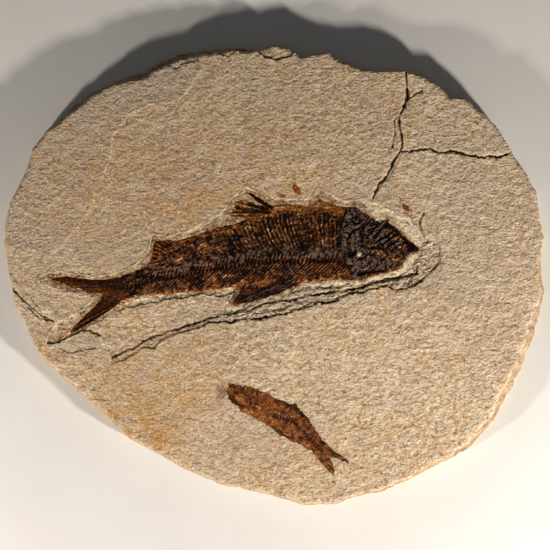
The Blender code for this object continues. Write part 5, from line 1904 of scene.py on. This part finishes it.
@dataclass
class SmallFish:
    """The small fish, a thin film with its backbone, ribs, dark head and forked tail."""

    plate: StonePlate
    outline: Line = SMALL_OUTLINE.frayed(0.75, 411)
    cell: float = 0.33
    rise: float = 0.32
    vertebra: float = 2.0
    rib_pitch: float = 1.7
    underside: float = 15.2
    length: float = 78.0

    def surface(self, x: Field, y: Field) -> tuple[Field, dict[str, Field]]:
        """Works out the film's surface.

        Args:
            x: Places along X.
            y: Places along Y.

        Returns:
            The thickness at each place, and the masks its colour needs.
        """
        rim = self.outline.nearest(x, y)[0]
        off, side, along = Line(SMALL_BACKBONE).nearest(x, y)
        run = along * self.length
        across = off * side
        fine = Wander(1.1, 0.8, 301, 60).at(x, y)
        mid = Wander(3.0, 2.2, 302, 20).at(x, y)
        head = ramp(18.0 - run, 0.0, 4.0)
        tail = ramp(run - 71.0, 0.0, 5.0)
        trunk = (1 - head) * (1 - tail)
        bead = 0.5 + 0.5 * np.cos(math.tau * run / self.vertebra)
        rib = 0.5 + 0.5 * np.cos(math.tau * (run - 0.7 * np.abs(across) + 0.3 * mid) / self.rib_pitch)
        column = bell(across, 0.7)
        ray = 0.5 + 0.5 * np.cos(math.tau * np.degrees(np.arctan2(y + 116, x - 26)) / 6.0)
        film = 0.1 + self.rise * ramp(rim, 0.0, 3.0)
        film += trunk * (0.16 * column * bead + 0.1 * (rib - 0.5)) + 0.1 * tail * (ray - 0.5)
        film += head * 0.16 * Wander(3.2, 2.2, 303, 30).at(x, y) + 0.09 * fine + 0.08 * mid
        stone = self.plate.face_height(x, y)
        tick = ramp(bead, 0.25, 0.75)
        fibre = Wander(4.5, 0.9, 304, -38).at(x, y)
        tone = 0.47 + 0.16 * mid + 0.12 * fine + 0.2 * fibre + 0.14 * trunk * (rib - 0.5)
        # Its vertebrae show as short ticks in two stretches, its back is darker than its belly side.
        ticked = ramp(run, 32.0, 37.0) * ramp(53.0 - run, 0.0, 3.0)
        ticked += ramp(run, 56.0, 59.0) * ramp(75.0 - run, 0.0, 4.0)
        tone -= trunk * (0.45 * bell(across, 1.5) * ticked * (1 - tick) + 0.16 * column * ramp(run, 14, 24))
        tone -= 0.12 * trunk * ramp(run, 30.0, 60.0) + 0.3 * bell(rim, 0.5) * (0.5 + mid)
        tone -= 0.08 * ramp(across, 0.0, 5.0)
        cheek = np.hypot((run - 10.0) / 6.0, (across - 1.0) / 3.6)
        tone += 0.2 * bell(cheek, 0.8) - 0.4 * bell(cheek - 1.1, 0.22) * (0.6 + mid)
        gill = Line(smooth_line(((-12.5, -79.5), (-11.5, -84.5), (-14, -90.5)))).nearest(x, y)[0]
        tone -= 0.25 * bell(gill, 0.6) + 0.06 * head
        # The belly strips are painted shadow; the back fin's strip is its own dark base.
        for points, width in SMALL_DARK_EDGES:
            off_edge, _, along_edge = Line(points).nearest(x, y)
            teeth = 0.6 + 0.4 * np.cos(math.tau * along_edge * 10.0)
            tone -= 0.6 * bell(off_edge, width) * teeth
        tone -= 0.35 * bell(np.hypot(x + 26.5, y + 80.5), 1.3)
        tone += 0.12 * ramp(mid + fine, 0.3, 0.8) + 0.12 * np.clip(1.0 - rim / 0.8, 0.0, 1.0) * (0.5 + fine)
        tone += tail * (0.25 * ray - 0.25)
        ash = 0.3 * ramp(mid - fibre, 0.1, 0.6) * ramp(run, 30.0, 50.0)
        return stone - self.underside + film, {"tone": tone, "ash": ash}

    def build(self, finish: FossilBone) -> bpy.types.Object:
        """Builds and dresses the fish.

        Args:
            finish: The film's finish.

        Returns:
            The finished piece.
        """
        fish = raise_sheet("small_fish_film", self.outline, self.cell, self.underside, self.surface)
        return stand_in(fish, finish.make(), "small_fish")


# The node of each loose scale, its corners, and how pale it is.
LOOSE_SCALES: tuple[tuple[str, Points, float], ...] = (
    ("loose_scale_1", ((14.5, 61.5), (17, 58), (18.5, 54), (15, 54.5), (12.5, 57.5), (12, 60.5)), 0.36),
    ("loose_scale_2", ((3, 55), (8, 54), (7, 52.5), (4, 52)), 0.36),
    ("loose_scale_3", ((87, 48.5), (91.2, 45.8), (91.6, 43), (87.6, 44.2)), 0.2),
)


@dataclass
class LooseScales:
    """Three thin scales that lie apart from the fish."""

    plate: StonePlate
    proud: float = 0.16
    sunk: float = 0.4
    cell: float = 0.35
    ring_pitch: float = 0.8

    def build(self, finish: FossilBone) -> list[bpy.types.Object]:
        """Builds and dresses the scales.

        Args:
            finish: The scales' finish.

        Returns:
            The finished pieces.
        """
        material = finish.make()
        made = []
        for name, points, pale in LOOSE_SCALES:
            outline = Line(smooth_line(points + points[:1], 5)[:-1], closed=True)
            scale = sheet_within(name + "_flake", outline, self.cell, self.plate.thickness)
            draw_border_onto(scale, outline)
            place = read_points(scale)
            x, y = place[:, 0], place[:, 1]
            rim = outline.nearest(x, y)[0]
            rings = 0.5 + 0.5 * np.cos(math.tau * rim / self.ring_pitch)
            place[:, 2] = self.plate.face_height(x, y) + self.proud * ramp(rim, 0.0, 0.8) + 0.03 * rings
            write_points(scale, place)
            mottle = Wander(1.1, 0.8, 401, 40).at(x, y)
            tone = pale + 0.14 * rings + 0.6 * mottle + 0.3 * kept(1.0 - rim / 0.5)
            paint(scale, {"tone": tone, "ash": 0 * rings})
            thicken(scale, self.sunk)
            made.append(stand_in(scale, material, name))
        return made


# ---------------------------------------------------------------- the studio


@dataclass
class Studio:
    """A pale paper floor, two low soft lights from the near side, a gentle fill and a straight-down camera.

    Attributes:
        view_width: Width of the picture on the plate's face.
        camera_height: Height of the camera over the floor.
        sensor: Width of the camera's sensor.
        face: Height of the plate's face.
        aside: How far the camera stands to the right of the plate's middle, and how far before it.
        floor_width: Width of the floor, in metres.
        air: The brightness of the air round the plate.
    """

    view_width: float = 374.0
    camera_height: float = 2400.0
    sensor: float = 36.0
    face: float = 16.0
    aside: float = 0.3
    floor_width: float = 6.0
    air: float = 0.06

    def floor(self) -> bpy.types.Object:
        """Lays the floor."""
        bpy.ops.object.select_all(action="DESELECT")
        bpy.ops.mesh.primitive_plane_add(size=self.floor_width, location=(0.0, 0.0, 0.0))
        floor = bpy.context.object
        floor.name = "paper_floor"
        floor.data.materials.append(PaperSweep().make())
        return floor

    def lamp(self, name: str, place: Sequence[float], aim: Sequence[float], power: float, size: float,
             tint: str) -> bpy.types.Object:
        """Hangs one soft square light.

        Args:
            name: Its name.
            place: Where it hangs, in metres.
            aim: The point that it faces, in metres.
            power: Its power, in watts.
            size: Its side, in metres.
            tint: Its colour.

        Returns:
            The light.
        """
        bpy.ops.object.select_all(action="DESELECT")
        bpy.ops.object.light_add(type="AREA", location=place)
        light = bpy.context.object
        light.name = name
        light.data.energy = power
        light.data.size = size
        light.data.color = linear(tint)[:3]
        run = np.array(aim, float) - np.array(place, float)
        tilt = math.acos(-run[2] / np.linalg.norm(run))
        light.rotation_euler = (tilt, 0.0, math.atan2(run[1], run[0]) - math.pi / 2)
        return light

    def light(self) -> None:
        """Lights the plate low from its near side, so that its relief shows."""
        self.lamp("key_left", (-0.6, -0.49, 0.31), (-0.05, 0.02, 0.0), 6.0, 0.06, "#FFF8F0")
        self.lamp("key_right", (0.6, -0.49, 0.31), (0.05, 0.02, 0.0), 9.9, 0.06, "#FFF8F0")
        self.lamp("fill_above", (0.0, 0.3, 1.6), (0.0, 0.0, 0.0), 1.0, 1.2, "#F4F6FF")
        world = bpy.data.worlds.new("studio_air")
        bpy.context.scene.world = world
        world.use_nodes = True
        background = world.node_tree.nodes["Background"]
        background.inputs["Color"].default_value = linear("#F2F1EE")
        background.inputs["Strength"].default_value = self.air

    def camera(self) -> bpy.types.Object:
        """Sets the camera straight over the plate, with its far rim at the top of the picture."""
        place = (self.aside * MM, -self.aside * MM, self.camera_height * MM)
        bpy.ops.object.camera_add(location=place, rotation=(0.0, 0.0, 0.0))
        camera = bpy.context.object
        camera.name = "camera"
        camera.data.sensor_width = self.sensor
        camera.data.lens = self.sensor * (self.camera_height - self.face) / self.view_width
        camera.data.clip_end = 20.0
        bpy.context.scene.camera = camera
        return camera

    def build(self) -> None:
        """Sets up the floor, the lights, the camera and the plain tone response."""
        self.floor()
        self.light()
        self.camera()
        bpy.context.scene.view_settings.view_transform = "Standard"


def main() -> None:
    """Builds the plate, the fish, the scales and the studio, and reports each piece."""
    logging.basicConfig(level=logging.INFO, format="%(message)s")
    plate = StonePlate(LARGE_OUTLINE)
    built = [plate.build(SplitLimestone())]
    built.append(LargeFish().build(DARK_BONE))
    built.append(SmallFish(plate).build(BROWN_BONE))
    built += LooseScales(plate).build(BROWN_SCALE)
    for piece in built:
        LOG.info("%s: %d points, %d faces", piece.name, len(piece.data.vertices), len(piece.data.polygons))
    Studio().build()


if __name__ == "__main__":
    main()
